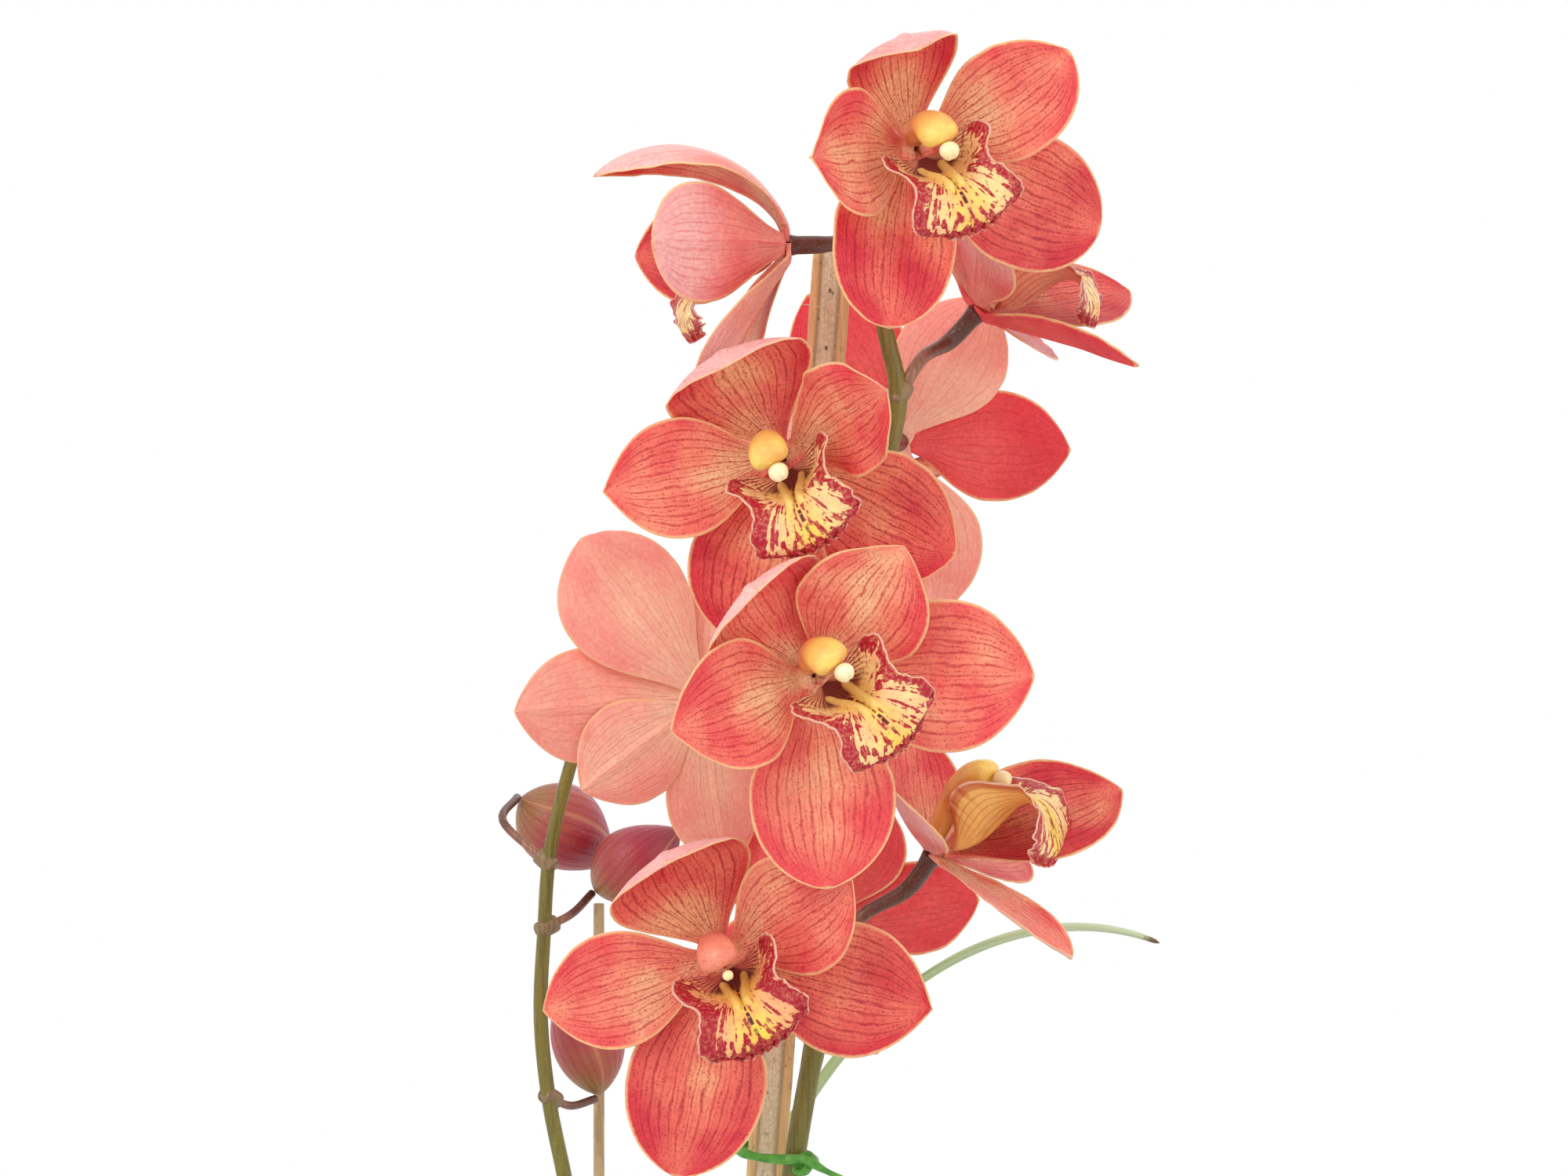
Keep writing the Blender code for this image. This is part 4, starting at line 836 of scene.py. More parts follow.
def tepal_surface(t, s, tepal, stand_out):
    """Points of a tepal at t along it (0 foot, 1 tip) and s across it (-1 to 1), in the flower's
    frame. The midrib leaves the hub at the lift angle and bends by the arch and sweep angles; each
    cross-section is an arc that spans twice the cup angle, with a groove at the midrib, margins
    rolled back and a slow ripple. Below 0 the foot runs straight on towards the hub's middle."""
    steps = 200
    share = np.linspace(0, 1, steps + 1)
    rise = np.radians(tepal["lift"] + tepal["arch"] * share ** tepal["bend"])
    side = np.radians(tepal["sweep"] * share)
    run = tepal["length"] / steps
    forward = np.stack([np.cos(rise) * np.cos(side), np.cos(rise) * np.sin(side), np.sin(rise)], axis=1)
    line = np.vstack([np.zeros(3), np.cumsum(0.5 * (forward[1:] + forward[:-1]) * run, axis=0)])
    line += [HUB_RADIUS, 0.0, stand_out]
    midrib = np.stack([np.interp(t, share, line[:, i]) for i in range(3)], axis=-1)
    midrib[..., 0] += np.minimum(t, 0) * tepal["length"]
    rise, side = np.interp(t, share, rise), np.interp(t, share, side)
    across = np.stack([-np.sin(side), np.cos(side), np.zeros_like(side)], axis=-1)
    tangent = np.stack([np.cos(rise) * np.cos(side), np.cos(rise) * np.sin(side), np.sin(rise)], axis=-1)
    normal = np.cross(tangent, across)
    tilt = np.radians(tepal["tilt"] * np.clip(t, 0, 1))[..., None]
    level = across
    across = np.cos(tilt) * level + np.sin(tilt) * normal
    normal = np.cos(tilt) * normal - np.sin(tilt) * level
    cup_tip = tepal["cup"] if tepal["cup_tip"] is None else tepal["cup_tip"]
    cup = np.radians(tepal["cup"] + (cup_tip - tepal["cup"]) * np.clip(t, 0, 1))
    half = tepal_half_width(t, tepal)
    bow = np.sin(np.pi * np.clip(t, 0, 1))
    depth = half / cup * (1 - np.cos(cup * s))
    margin = np.clip((np.abs(s) - 0.45) / 0.55, 0, 1) ** 2
    rolled = margin * np.where(s > 0, tepal["roll_left"], tepal["roll_right"]) * bow**0.7
    wave = np.sin(2 * np.pi * (2.3 * t + tepal["phase"]) + np.where(s > 0, 0.0, 2.0))
    depth = depth - rolled + tepal["ripple"] * np.abs(s) ** 3 * wave * bow
    depth = depth - tepal["groove"] * np.exp(-((s / 0.09) ** 2)) * bow**0.5
    local = midrib + (half / cup * np.sin(cup * s))[..., None] * across + depth[..., None] * normal
    angle = math.radians(tepal["angle"])
    x = local[..., 0] * math.cos(angle) - local[..., 1] * math.sin(angle)
    y = local[..., 0] * math.sin(angle) + local[..., 1] * math.cos(angle)
    return np.stack([x, y, local[..., 2]], axis=-1)


def add_tepal(name, flower, tepal, stand_out, finish, seed):
    """One tepal as a thin sheet, thickest along its midrib and foot and thin at its margin, with
    faint buckles of its own."""
    rows, columns = 72, 45
    claw = CLAW_LENGTH / tepal["length"]
    t = (1 - (1 - np.linspace(0, 1, rows)) ** 1.25) * (1 + claw) - claw
    s = np.linspace(-1, 1, columns)
    s = 0.75 * s + 0.25 * np.sin(0.5 * np.pi * s)
    t, s = np.meshgrid(t, s, indexing="ij")
    points = tepal_surface(t, s, tepal, stand_out)
    half = tepal_half_width(t, tepal)
    rim = np.minimum(half * (1 - np.abs(s)), (1 - t) * tepal["length"] * 1.1)
    normal = surface_normals(points)
    buckle = wander((rows, columns), seed, 11) * 0.45 * np.clip(t, 0, 1) ** 0.5 * (0.4 + 0.6 * np.abs(s))
    frill = wander((rows, columns), seed + 500, 4) * 0.22 * np.abs(s) ** 4
    points = points + (buckle + frill)[..., None] * normal
    thickness = 0.28 + 0.55 * np.clip(rim / 5, 0, 1) + 0.5 * np.exp(-((s / 0.15) ** 2))
    thickness = thickness + 0.9 * np.clip(0.15 - t, 0, 1) / 0.15
    thickness = np.minimum(thickness, 0.2 + 2.0 * half)
    readings = {"along": t, "across": s, "rim": np.maximum(rim, 0)}
    return add_sheet(name, to_world(flower, points), thickness * MM, finish, readings)


def lip_surface(u, v):
    """Points of the lip at u along it and v across it (-1 to 1): a middle line, and across it an
    arc that wraps up round the column behind and turns down at the mid-lobe in front. The side
    lobes flare outward at their upper margins, and the mid-lobe's margin is frilled by waves that
    grow towards it. Two keels run up the middle and end where the mid-lobe starts."""
    up, out = eased(u, LIP_ALONG, LIP_UP), eased(u, LIP_ALONG, LIP_OUT)
    half, wrap = eased(u, LIP_ALONG, LIP_HALF_WIDTH), np.radians(eased(u, LIP_ALONG, LIP_WRAP))
    normal_up, normal_out = square_to(u, LIP_ALONG, LIP_UP, LIP_OUT, 0.03)
    wrap = np.where(np.abs(wrap) < 0.02, 0.02, wrap)
    lobe = step_up(u, 0.50, 0.66)
    margin = np.abs(v) ** 4
    waves = 0.55 * np.sin(2 * np.pi * 9.5 * u + 1.5 * np.sign(v)) + 0.35 * np.sin(2 * np.pi * 21 * u)
    frill = lobe * margin * waves
    side = half / wrap * np.sin(wrap * v)
    depth = half / wrap * (1 - np.cos(wrap * v)) + frill
    flare = (1 - lobe) * step_up(u, 0.10, 0.40) * np.clip((np.abs(v) - 0.70) / 0.30, 0, 1) ** 2 * 2.2
    side = side + flare * np.sign(v)
    scallops = 0.7 * np.sin(2 * np.pi * 3.2 * v) + 0.4 * np.cos(2 * np.pi * 5.5 * v)
    end = step_up(u, 0.86, 1.0) * scallops * 0.8
    depth = depth + keel_height(u, half * v)
    return np.stack([side, up + depth * normal_up - end * 0.6, out + depth * normal_out + end], -1)


def keel_height(u, sideways):
    """Two rounded ridges either side of the middle, nearer together in front."""
    apart = 3.0 - 1.5 * step_up(u, 0.15, 0.55)
    window = step_up(u, 0.10, 0.22) * (1 - step_up(u, 0.56, 0.66))
    return KEEL_HEIGHT * window * np.exp(-(((np.abs(sideways) - apart) / 0.85) ** 2))


def curled(points, along, curl):
    """Bends the mid-lobe down further: points past the fold are turned about it, more the further
    along they are, until the whole curl angle is reached."""
    at_up, at_out = eased(LIP_FOLD, LIP_ALONG, LIP_UP), eased(LIP_FOLD, LIP_ALONG, LIP_OUT)
    angle = -math.radians(curl) * step_up(along, LIP_FOLD - 0.04, 0.78)
    up, out = points[..., 1] - at_up, points[..., 2] - at_out
    return np.stack([points[..., 0], at_up + up * np.cos(angle) + out * np.sin(angle),
                     at_out + out * np.cos(angle) - up * np.sin(angle)], -1)


def add_lip(name, flower, finish, seed):
    """The lip as a thin sheet. Ray is the angle round the place where the throat opens, which the
    dashes of the mid-lobe follow."""
    rows, columns = 110, 101
    u = np.linspace(0, 1, rows)
    w = np.linspace(-1, 1, columns)
    v = w * (0.62 + 0.38 * np.abs(w))
    u, v = np.meshgrid(u, v, indexing="ij")
    half = eased(u, LIP_ALONG, LIP_HALF_WIDTH)
    wavy = 1 + (wander((rows, 1), seed, 5) * 0.05 + wander((rows, 1), seed + 1, 2) * 0.02) * np.abs(v) ** 2
    points = lip_surface(u, v)
    points[..., 0] *= wavy
    rim = np.minimum(half * (1 - np.abs(v)), (1 - u) * LIP_LENGTH)
    thickness = 0.35 + 0.6 * np.clip(rim / 5, 0, 1)
    keel = np.clip(keel_height(u, half * v) / KEEL_HEIGHT, 0, 1)
    ray = np.arctan2(half * v, (u - 0.38) * LIP_LENGTH)
    readings = {"along": u, "across": v, "rim": np.maximum(rim, 0), "keel": keel, "ray": ray}
    points = curled(points, u, flower.get("lip_curl", 0)) * flower.get("lip_size", 1.0)
    return add_sheet(name, to_world(flower, points, "lip_axes"), thickness * MM, finish, readings)


def add_column(name, flower, finish):
    """The column: rings along its arching line, hooded above and hollow beneath, with a wing on
    each side of its far end."""
    share = np.linspace(0, 1, len(COLUMN_UP))
    x = np.linspace(0, 0.93, 40)
    up, out, radius = (eased(x, share, values) for values in (COLUMN_UP, COLUMN_OUT, COLUMN_RADIUS))
    angle = np.linspace(0, 2 * np.pi, 36, endpoint=False)
    over_up, over_out = square_to(x, share, COLUMN_UP, COLUMN_OUT, 0.02)
    wide = radius * (1.02 + 0.16 * step_up(x, 0.5, 0.85))
    tall = radius * (0.92 - 0.08 * step_up(x, 0.5, 0.9))
    closing = np.sqrt(np.clip(1 - ((x - 0.80) / 0.131).clip(0, 1) ** 2.4, 0, 1))
    c, s = np.cos(angle)[None, :], np.sin(angle)[None, :]
    beneath = np.exp(-(((angle[None, :] - 1.5 * np.pi) / 0.6) ** 2))
    hollow = 1 - 0.28 * beneath * step_up(x, 0.2, 0.6)[:, None]
    across = (wide * closing)[:, None] * c
    over = (tall * closing)[:, None] * s * hollow
    points = np.stack([across, up[:, None] + over * over_up[:, None],
                       out[:, None] + over * over_out[:, None]], -1)
    foot = np.broadcast_to(points[0].mean(0), (1, len(angle), 3))
    end = np.broadcast_to(points[-1].mean(0), (1, len(angle), 3))
    points = np.concatenate([foot, points, end])
    along = np.concatenate([[0], x, [1]])
    points = to_world(flower, points.reshape(-1, 3), "column_axes")
    faces = grid_quads(len(along), len(angle), closed=True)
    return add_mesh(name, points, faces, finish, {"along": np.repeat(along, len(angle))})


def add_cap(name, flower, finish):
    """The anther cap: a small egg with a groove down its face and a blunt beak, under the column's
    end, as a sphere of latitudes and longitudes pulled out of round."""
    rows, columns = 22, 30
    lat = np.linspace(0, np.pi, rows)[:, None]
    lon = np.linspace(0, 2 * np.pi, columns, endpoint=False)[None, :]
    x = 2.55 * np.sin(lat) * np.cos(lon)
    y = 2.15 * np.sin(lat) * np.sin(lon)
    z = 2.5 * np.cos(lat) + 0 * lon
    z = z - 0.5 * np.exp(-((x / 0.5) ** 2)) * step_up(np.cos(lat), 0.0, 0.8)
    y = y - 0.5 * step_up(-np.sin(lon), 0.3, 1.0) * np.sin(lat) ** 2
    tilt = math.radians(-38)
    x, y, z = (flower.get("cap_size", 1.0) * part for part in (x, y, z))
    middle = np.array([0.3, COLUMN_UP[-1] - 1.5, COLUMN_OUT[-1] - 0.2])
    up = y * math.cos(tilt) + z * math.sin(tilt)
    out = z * math.cos(tilt) - y * math.sin(tilt)
    points = (np.stack([x, up, out], -1) + middle).reshape(-1, 3)
    points = to_world(flower, points, "column_axes")
    # painted shade: along runs from 1 at the cap's outward end to 0.5 at its far end, so the cap is lightest
    # at the one and darker towards the other
    readings = {"along": np.repeat(np.linspace(1, 0.5, rows), columns)}
    return add_mesh(name, points, grid_quads(rows, columns, closed=True), finish, readings)


coral = tepal_finish("coral_skin", (0.99, 0.58, 0.32), (0.97, 0.29, 0.19), (0.84, 0.085, 0.095),
                     (0.52, 0.014, 0.040), (0.98, 0.50, 0.38), (0.92, 0.22, 0.19), lilac=0.5)
crimson = tepal_finish("crimson_skin", (0.98, 0.46, 0.24), (0.91, 0.19, 0.135), (0.68, 0.042, 0.060),
                       (0.38, 0.006, 0.026), (0.95, 0.32, 0.26), (0.84, 0.12, 0.13), lilac=0.4)
peach = tepal_finish("peach_skin", (0.99, 0.60, 0.40), (0.98, 0.44, 0.30), (0.93, 0.24, 0.19),
                     (0.78, 0.12, 0.11), (0.99, 0.58, 0.42), (0.96, 0.34, 0.29), edge_gold=0.7)
ruby = tepal_finish("ruby_skin", (0.94, 0.26, 0.15), (0.80, 0.085, 0.075), (0.60, 0.022, 0.042),
                    (0.26, 0.004, 0.016), (0.90, 0.12, 0.12), (0.80, 0.050, 0.070))
pale_lip = lip_finish("lip_cream", (0.96, 0.72, 0.32), (0.97, 0.68, 0.12), (0.46, 0.010, 0.034),
                      (0.14, 0.006, 0.010), (0.95, 0.44, 0.27))
dark_lip = lip_finish("lip_dark", (0.95, 0.52, 0.22), (0.98, 0.72, 0.10), (0.42, 0.008, 0.030),
                      (0.09, 0.004, 0.008), (0.80, 0.20, 0.15), 1.6)
gold_lip = lip_finish("lip_gold", (0.97, 0.80, 0.42), (0.98, 0.74, 0.14), (0.50, 0.012, 0.036),
                      (0.24, 0.01, 0.015), (0.98, 0.60, 0.17))
# the first colour of each column and cap finish is partly painted shade at their sides
yellow_wax = wax_finish("column_yellow", (0.72, 0.26, 0.07), (0.90, 0.44, 0.11), (0.99, 0.70, 0.15), 0.15)
pink_wax = wax_finish("column_pink", (0.66, 0.10, 0.07), (0.84, 0.20, 0.13), (0.95, 0.32, 0.20), 0.35)
cream_wax = wax_finish("cap_cream", (0.98, 0.86, 0.50), (0.96, 0.76, 0.36), (0.98, 0.90, 0.62))
# Each flower's sepal and petal skins
PALETTE = {1: (crimson, coral), 2: (coral, crimson), 3: (ruby, crimson), 4: (crimson, coral),
           5: (peach, ruby), 6: (peach, peach), 7: (coral, coral), 8: (coral, crimson),
           9: (crimson, coral), 10: (ruby, ruby)}
LIP_SKINS = {8: gold_lip, 9: dark_lip}
COLUMN_SKINS = {9: pink_wax}
PETALS_FORWARD = 1.9       # the inner whorl leaves the hub this much in front of the outer one
# Each tepal's name, the plan it starts from, its own entry in FLOWERS and the whorl it belongs to
TEPALS = [("dorsal_sepal", DORSAL, "dorsal", "sepals"), ("left_sepal", LEFT_SEPAL, "low_left", "sepals"),
          ("right_sepal", RIGHT_SEPAL, "low_right", "sepals"), ("left_petal", LEFT_PETAL, "left", "petals"),
          ("right_petal", RIGHT_PETAL, "right", "petals")]

for flower in FLOWERS:
    number = flower["number"]
    flower["axes"], flower["lip_axes"] = flower_axes(flower), lip_axes(flower)
    flower["column_axes"] = flower_axes(flower | dict(nod=flower["nod"] + flower.get("column_nod", 0)))
    flower["place"] = flower_hub(flower)
    skins = dict(zip(("sepals", "petals"), PALETTE[number]))
    for part, plan, own, whorl in TEPALS:
        tepal, stand_out = plan | flower[own], PETALS_FORWARD if whorl == "petals" else 0.0
        seed = SEED + 10 * number + len(part)
        piece = add_tepal(f"flower_{number}_{part}", flower, tepal, stand_out, skins[whorl], seed)
        stand(piece, f"flower_{number}_{whorl}", slot=whorl)
    lip = add_lip(f"flower_{number}_lip_blade", flower, LIP_SKINS.get(number, pale_lip), SEED + number)
    stand(lip, f"flower_{number}_lip", slot="lip")
    column = add_column(f"flower_{number}_column_body", flower, COLUMN_SKINS.get(number, yellow_wax))
    stand(column, f"flower_{number}_column", slot="column")
    cap = add_cap(f"flower_{number}_anther_cap", flower, cream_wax)
    stand(cap, f"flower_{number}_column", slot="column")


# ---- Spikes, stake, tie and buds

STEM_RADIUS = 0.0033
PEDICEL_RADIUS = 0.0019
STEM_PATH = [(0.0060, -0.002, 0.135), (0.0075, -0.002, 0.240), (0.0120, -0.002, 0.350),
             (0.0190, -0.002, 0.445), (0.0247, -0.002, 0.500), (0.0302, -0.002, 0.531),
             (0.0347, -0.002, 0.552), (0.0374, -0.002, 0.578), (0.0405, -0.002, 0.619),
             (0.0425, -0.002, 0.659), (0.0482, -0.002, 0.681), (0.0519, -0.002, 0.700),
             (0.0482, -0.002, 0.719), (0.0466, -0.003, 0.736), (0.0480, -0.008, 0.749)]
TOP_JOINT = 10                    # the stalk at the spike's tip, which carries on along it
BARE_JOINTS = (1, 2.2, 3.4)       # joints of the stem below its flowers
# Where on the path, counted in its points, each joint with a flower stalk is
JOINTS = {1: 5, 2: 6, 4: 8, 5: 8.6, 6: 10, 7: 11, 9: 13, 10: 14}
BACK_PATH = [(-0.019, 0.050, 0.135), (-0.021, 0.064, 0.250), (-0.026, 0.090, 0.380),
             (-0.0405, 0.106, 0.480), (-0.0456, 0.110, 0.504), (-0.0478, 0.110, 0.526),
             (-0.0468, 0.110, 0.5525), (-0.0456, 0.110, 0.571), (-0.0377, 0.110, 0.605),
             (-0.026, 0.108, 0.642)]
BACK_STALKS = [(7, (-0.0592, 0.118, 0.5828), (-0.0560, 0.1340, 0.5888)),
               (6, (-0.0400, 0.116, 0.5555), (-0.0338, 0.1268, 0.5612)),
               (4, (-0.0400, 0.118, 0.5005), (-0.0330, 0.1282, 0.5012))]
BUDS = [((-0.0551, 0.1355, 0.5884), (-0.0290, 0.1500, 0.5690), 0.0125),
        ((-0.0329, 0.1280, 0.5619), (-0.0080, 0.1240, 0.5800), 0.0110),
        ((-0.0318, 0.1295, 0.5024), (-0.0400, 0.1350, 0.5400), 0.0105)]
CANE_FOOT, CANE_TOP = (-0.0290, 0.062, 0.090), (-0.0331, 0.1564, 0.5560)


def stem_place(joint):
    """A place on the spike's path, counted in its points; parts of a step lie between two."""
    whole = min(int(joint), len(STEM_PATH) - 2)
    here, following = np.array(STEM_PATH[whole]), np.array(STEM_PATH[whole + 1])
    return here + (joint - whole) * (following - here)


def bract(at, ahead, radius, length):
    """A papery bract clasping a stem: a short tube that flares from its foot and ends askew."""
    ahead = np.asarray(ahead, float) / np.linalg.norm(ahead)
    path = np.asarray(at) + np.linspace(-0.35, 0.65, 9)[:, None] * length * ahead
    x = np.linspace(0, 1, 9)
    swell = radius * (1.03 + 0.20 * np.sin(np.pi * x * 0.8))
    return tube_arrays(path, swell, 18, shape=lambda a, t: 1 + 0.06 * np.cos(a) * t)


def three_grooved(angle, share):
    return 1 + 0.05 * np.cos(3 * angle) * step_up(share, 0.4, 0.7)


def spike_tubes():
    """The stem, swollen a little at its joints, then each flower's stalk, a little thicker and
    three-grooved under its flower, and a bract at each stalk's foot."""
    path = eased_path(STEM_PATH, 150)
    share = np.linspace(0, 1, len(path))
    radius = STEM_RADIUS * (1.10 - 0.45 * share)
    for joint in [*JOINTS.values(), *BARE_JOINTS]:
        at = stem_place(joint)
        away = np.linalg.norm(path - at, axis=1)
        radius = radius * (1 + 0.14 * np.exp(-((away / 0.004) ** 2)))
    tubes = [(0, tube_arrays(path, radius, 20))]
    for flower in FLOWERS:
        end = flower["place"] - flower["axes"][:, 2] * 0.4 * MM
        start = stem_place(JOINTS[flower["joint"]])
        reach = np.linalg.norm(end - start)
        bend = end - flower["axes"][:, 2] * 0.30 * reach
        lift = start + (end - start) * 0.28 + np.array([0, 0, 0.10 * reach])
        if flower["joint"] == TOP_JOINT:
            lift = start + (end - start) * 0.4
        line = eased_path([start, *flower.get("via", [lift]), bend, end], 40)
        x = np.linspace(0, 1, 40)
        swell = 0.86 + 0.20 * x + 0.22 * step_up(x, 0.45, 0.8) + 0.25 * step_up(x, 0.92, 1.0)
        tubes.append((1, tube_arrays(line, PEDICEL_RADIUS * swell, 18, shape=three_grooved)))
        tubes.append((2, bract(start, line[3] - line[0], PEDICEL_RADIUS * 1.15, 0.006)))
    for joint in BARE_JOINTS:
        at = stem_place(joint)
        ahead = stem_place(joint + 0.1) - at
        tubes.append((2, bract(at, ahead, STEM_RADIUS * 1.12, 0.022)))
    return tubes


stem_skin = stem_finish()
stand(add_tubes("flower_spike_stem", spike_tubes(), stem_skin), "flower_spike", slot="stem")

back_line = eased_path(BACK_PATH, 110)
back_radius = np.linspace(0.0030, 0.0018, 110)
back_tubes = [(0, tube_arrays(back_line, back_radius, 16))]
for joint, middle, end in BACK_STALKS:
    line = eased_path([BACK_PATH[joint], middle, end], 16)
    back_tubes.append((1, tube_arrays(line, 0.0012, 14)))
    back_tubes.append((2, bract(BACK_PATH[joint], line[3] - line[0], 0.0022, 0.006)))
stand(add_tubes("back_spike_stem", back_tubes, stem_skin), "back_spike", slot="stem")


def three_lobed(angle, share):
    return 0.98 + 0.05 * np.abs(np.cos(1.5 * (angle + 0.8 * share))) * np.sin(np.pi * share)


def add_bud(name, foot, tip, radius, finish):
    """A closed bud: a fat spindle of three overlapping sepals, so its rings are three-lobed and
    twist a little towards the beak."""
    foot, tip = np.array(foot), np.array(tip)
    x = np.linspace(0, 1, 44)
    path = foot + (tip - foot) * x[:, None] + np.array([0, -0.002, 0]) * np.sin(np.pi * x)[:, None]
    swell = np.maximum(radius * np.sin(np.pi * x**0.8) ** 0.8, 0.0008)
    points, faces, readings = tube_arrays(path, swell, 36, shape=three_lobed)
    return add_mesh(name, points, faces, finish, readings)


bud_skin = bud_finish()
for number, (foot, tip, radius) in enumerate(BUDS, 1):
    stand(add_bud(f"bud_{number}_body", foot, tip, radius, bud_skin), f"bud_{number}", slot="bud")


def add_bar(name, foot, top, width, depth, finish):
    """A split cane: rings of a rounded oblong along a straight line, its faces dished and nicked a
    little, knuckled at the joints; the pith reading is 1 on the flat front face."""
    foot, top = np.array(foot, float), np.array(top, float)
    rows, around = 260, 48
    x = np.linspace(0, 1, rows)
    axis = (top - foot) / np.linalg.norm(top - foot)
    side = np.cross([0.0, 1.0, 0.0], axis)
    side /= np.linalg.norm(side)
    back = np.cross(axis, side)
    a = np.linspace(0, 2 * np.pi, around, endpoint=False)[None, :]
    blunt = 0.42
    cx = np.sign(np.cos(a)) * np.abs(np.cos(a)) ** blunt
    cy = np.sign(np.sin(a)) * np.abs(np.sin(a)) ** blunt
    rough = 1 + 0.016 * wander((rows, around), SEED + 3, 3) + 0.01 * wander((rows, 1), SEED + 4, 12)
    knuckle = 1 + sum(0.05 * np.exp(-(((x - at) / 0.006) ** 2)) for at in (0.24, 0.63))[:, None]
    sx = 0.5 * width * cx * rough * np.minimum(knuckle, 1.05)
    sy = 0.5 * depth * cy * rough * knuckle
    dish = 0.0005 * np.exp(-((cx / 0.55) ** 2)) * (cy < -0.5)
    middle = (foot + (top - foot) * x[:, None])[:, None, :]
    points = middle + sx[..., None] * side + (sy + dish)[..., None] * back
    ends = [np.broadcast_to(points[k].mean(0), (1, around, 3)) for k in (0, -1)]
    points = np.concatenate([ends[0], points, ends[1]])
    pith = np.clip(1.35 - np.abs(np.broadcast_to(cx, (rows, around)) + 0.05) * 1.75, 0, 1) * (cy < 0)
    pith = np.concatenate([np.ones((1, around)), pith, np.ones((1, around))])
    return add_mesh(name, points, grid_quads(rows + 2, around, closed=True), finish, {"pith": pith})


STAKE_FOOT, STAKE_TOP = (-0.0160, 0.009, 0.040), (0.0350, 0.009, 0.7390)
stake_skin = cane_finish("split_cane", (0.92, 0.60, 0.27), (0.90, 0.76, 0.50))
stand(add_bar("stake_body", STAKE_FOOT, STAKE_TOP, 0.0104, 0.0066, stake_skin), "stake", slot="cane")
fibre_line = eased_path([(0.0270, 0.0050, 0.7245), (0.0300, 0.0042, 0.7242), (0.0335, 0.0044, 0.7228),
                         (0.0368, 0.0052, 0.7216)], 24)
fibre_points, fibre_faces, _ = tube_arrays(fibre_line, 0.00013, 8)
fibre = add_mesh("stake_fibre", fibre_points, fibre_faces, stake_skin, {"pith": np.ones(len(fibre_points))})
stand(fibre, slot="cane")

cane_share = np.linspace(0, 1, 120)[:, None]
cane_line = np.array(CANE_FOOT) + (np.array(CANE_TOP) - np.array(CANE_FOOT)) * cane_share
cane_knuckles = np.exp(-(((cane_share - [0.3, 0.68]) / 0.01) ** 2)).sum(1)
cane_points, cane_faces, cane_marks = tube_arrays(cane_line, 0.0016 * (1 + 0.12 * cane_knuckles), 16)
thin_skin = cane_finish("thin_cane", (0.60, 0.42, 0.22), (0.60, 0.42, 0.22))
cane_marks["pith"] = np.zeros(len(cane_points))
thin = add_mesh("back_cane_body", cane_points, cane_faces, thin_skin, cane_marks)
stand(thin, "back_cane", slot="cane")


def tie_path():
    """The tie's line: a squarish oval round stake and stem, then the long loose end."""
    height = 0.5015
    share = (height - STAKE_FOOT[2]) / (STAKE_TOP[2] - STAKE_FOOT[2])
    stake_x = STAKE_FOOT[0] + (STAKE_TOP[0] - STAKE_FOOT[0]) * share
    left, right = stake_x - 0.0052 - 0.0036, 0.0250 + STEM_RADIUS + 0.0020
    middle, half = 0.5 * (left + right), 0.5 * (right - left)
    back = 0.5 * (0.009 - 0.002) + 0.0040
    around = math.radians(-62) + 2 * math.pi * 0.94 * np.linspace(0, 1, 90)
    x = middle + half * np.sign(np.cos(around)) * np.abs(np.cos(around)) ** 0.6
    y = 0.0034 + (back + 0.0030) * np.sign(np.sin(around)) * np.abs(np.sin(around)) ** 0.6
    loop = np.stack([x, y, height - 0.0022 * np.cos(around)], 1)
    end = loop[-1]
    tail = eased_path([end, end + [0.0045, -0.0028, 0.0006], end + [0.0100, -0.0036, -0.0022],
                       end + [0.0170, -0.0030, -0.0056]], 30)[1:]
    return np.concatenate([loop, tail])


tie_line = tie_path()
tie_share = np.linspace(0, 1, len(tie_line))
tie_radius = 0.0012 * (1 - 0.45 * step_up(tie_share, 0.80, 1.0)) * (1 + 0.12 * np.sin(60 * tie_share))
knot_turn = np.linspace(0, 2 * np.pi * 2.2, 60)
knot = tie_line[2] + np.stack([0.0016 * np.cos(knot_turn) + 0.0008 * np.sin(0.5 * knot_turn),
                               -0.0008 + 0.0010 * np.sin(knot_turn), 0.0022 * np.sin(knot_turn + 0.6)], 1)
tie_tubes = [(0, tube_arrays(tie_line, tie_radius, 16, flat=0.7)), (0, tube_arrays(knot, 0.0009, 12))]
stand(add_tubes("stake_tie_loop", tie_tubes, tie_finish()), "stake_tie", slot="tie")


# ---- Pseudobulbs, leaves, mix and pot

# Each bulb's middle, radius and height
BULBS = [((0.038, -0.010, 0.168), 0.026, 0.085),
         ((-0.040, -0.020, 0.166), 0.024, 0.078),
         ((0.014, 0.056, 0.164), 0.023, 0.074)]
LEAF_GAP, LEAF_ASIDE = 0.0010, 0.0072      # from a bulb's neck to the foot of a leaf
LEAF = dict(width=0.026, rise=80, droop=105, late=1.5, veer=0)
LEAVES = [dict(LEAF, bulb=0, heading=-42, length=0.41),
          dict(LEAF, bulb=0, heading=55, length=0.385, rise=82, droop=98),
          dict(LEAF, bulb=1, heading=225, length=0.41, rise=78, droop=110),
          dict(LEAF, bulb=1, heading=130, length=0.40, width=0.025),
          dict(LEAF, bulb=1, heading=325, length=0.36, width=0.024, rise=72, droop=120),
          dict(LEAF, bulb=2, heading=300, length=0.40, width=0.024),
          dict(LEAF, bulb=2, heading=86, length=0.423, width=0.014, rise=85, droop=105, late=4, veer=-99)]


# A bulb's outline from its neck to its foot, as shares of its radius and height
BULB_OUTLINE = np.array([(0.0, 0.56), (0.16, 0.55), (0.30, 0.44), (0.62, 0.24), (0.92, 0.02), (1.0, -0.14),
                         (0.88, -0.32), (0.55, -0.44), (0.0, -0.48)])


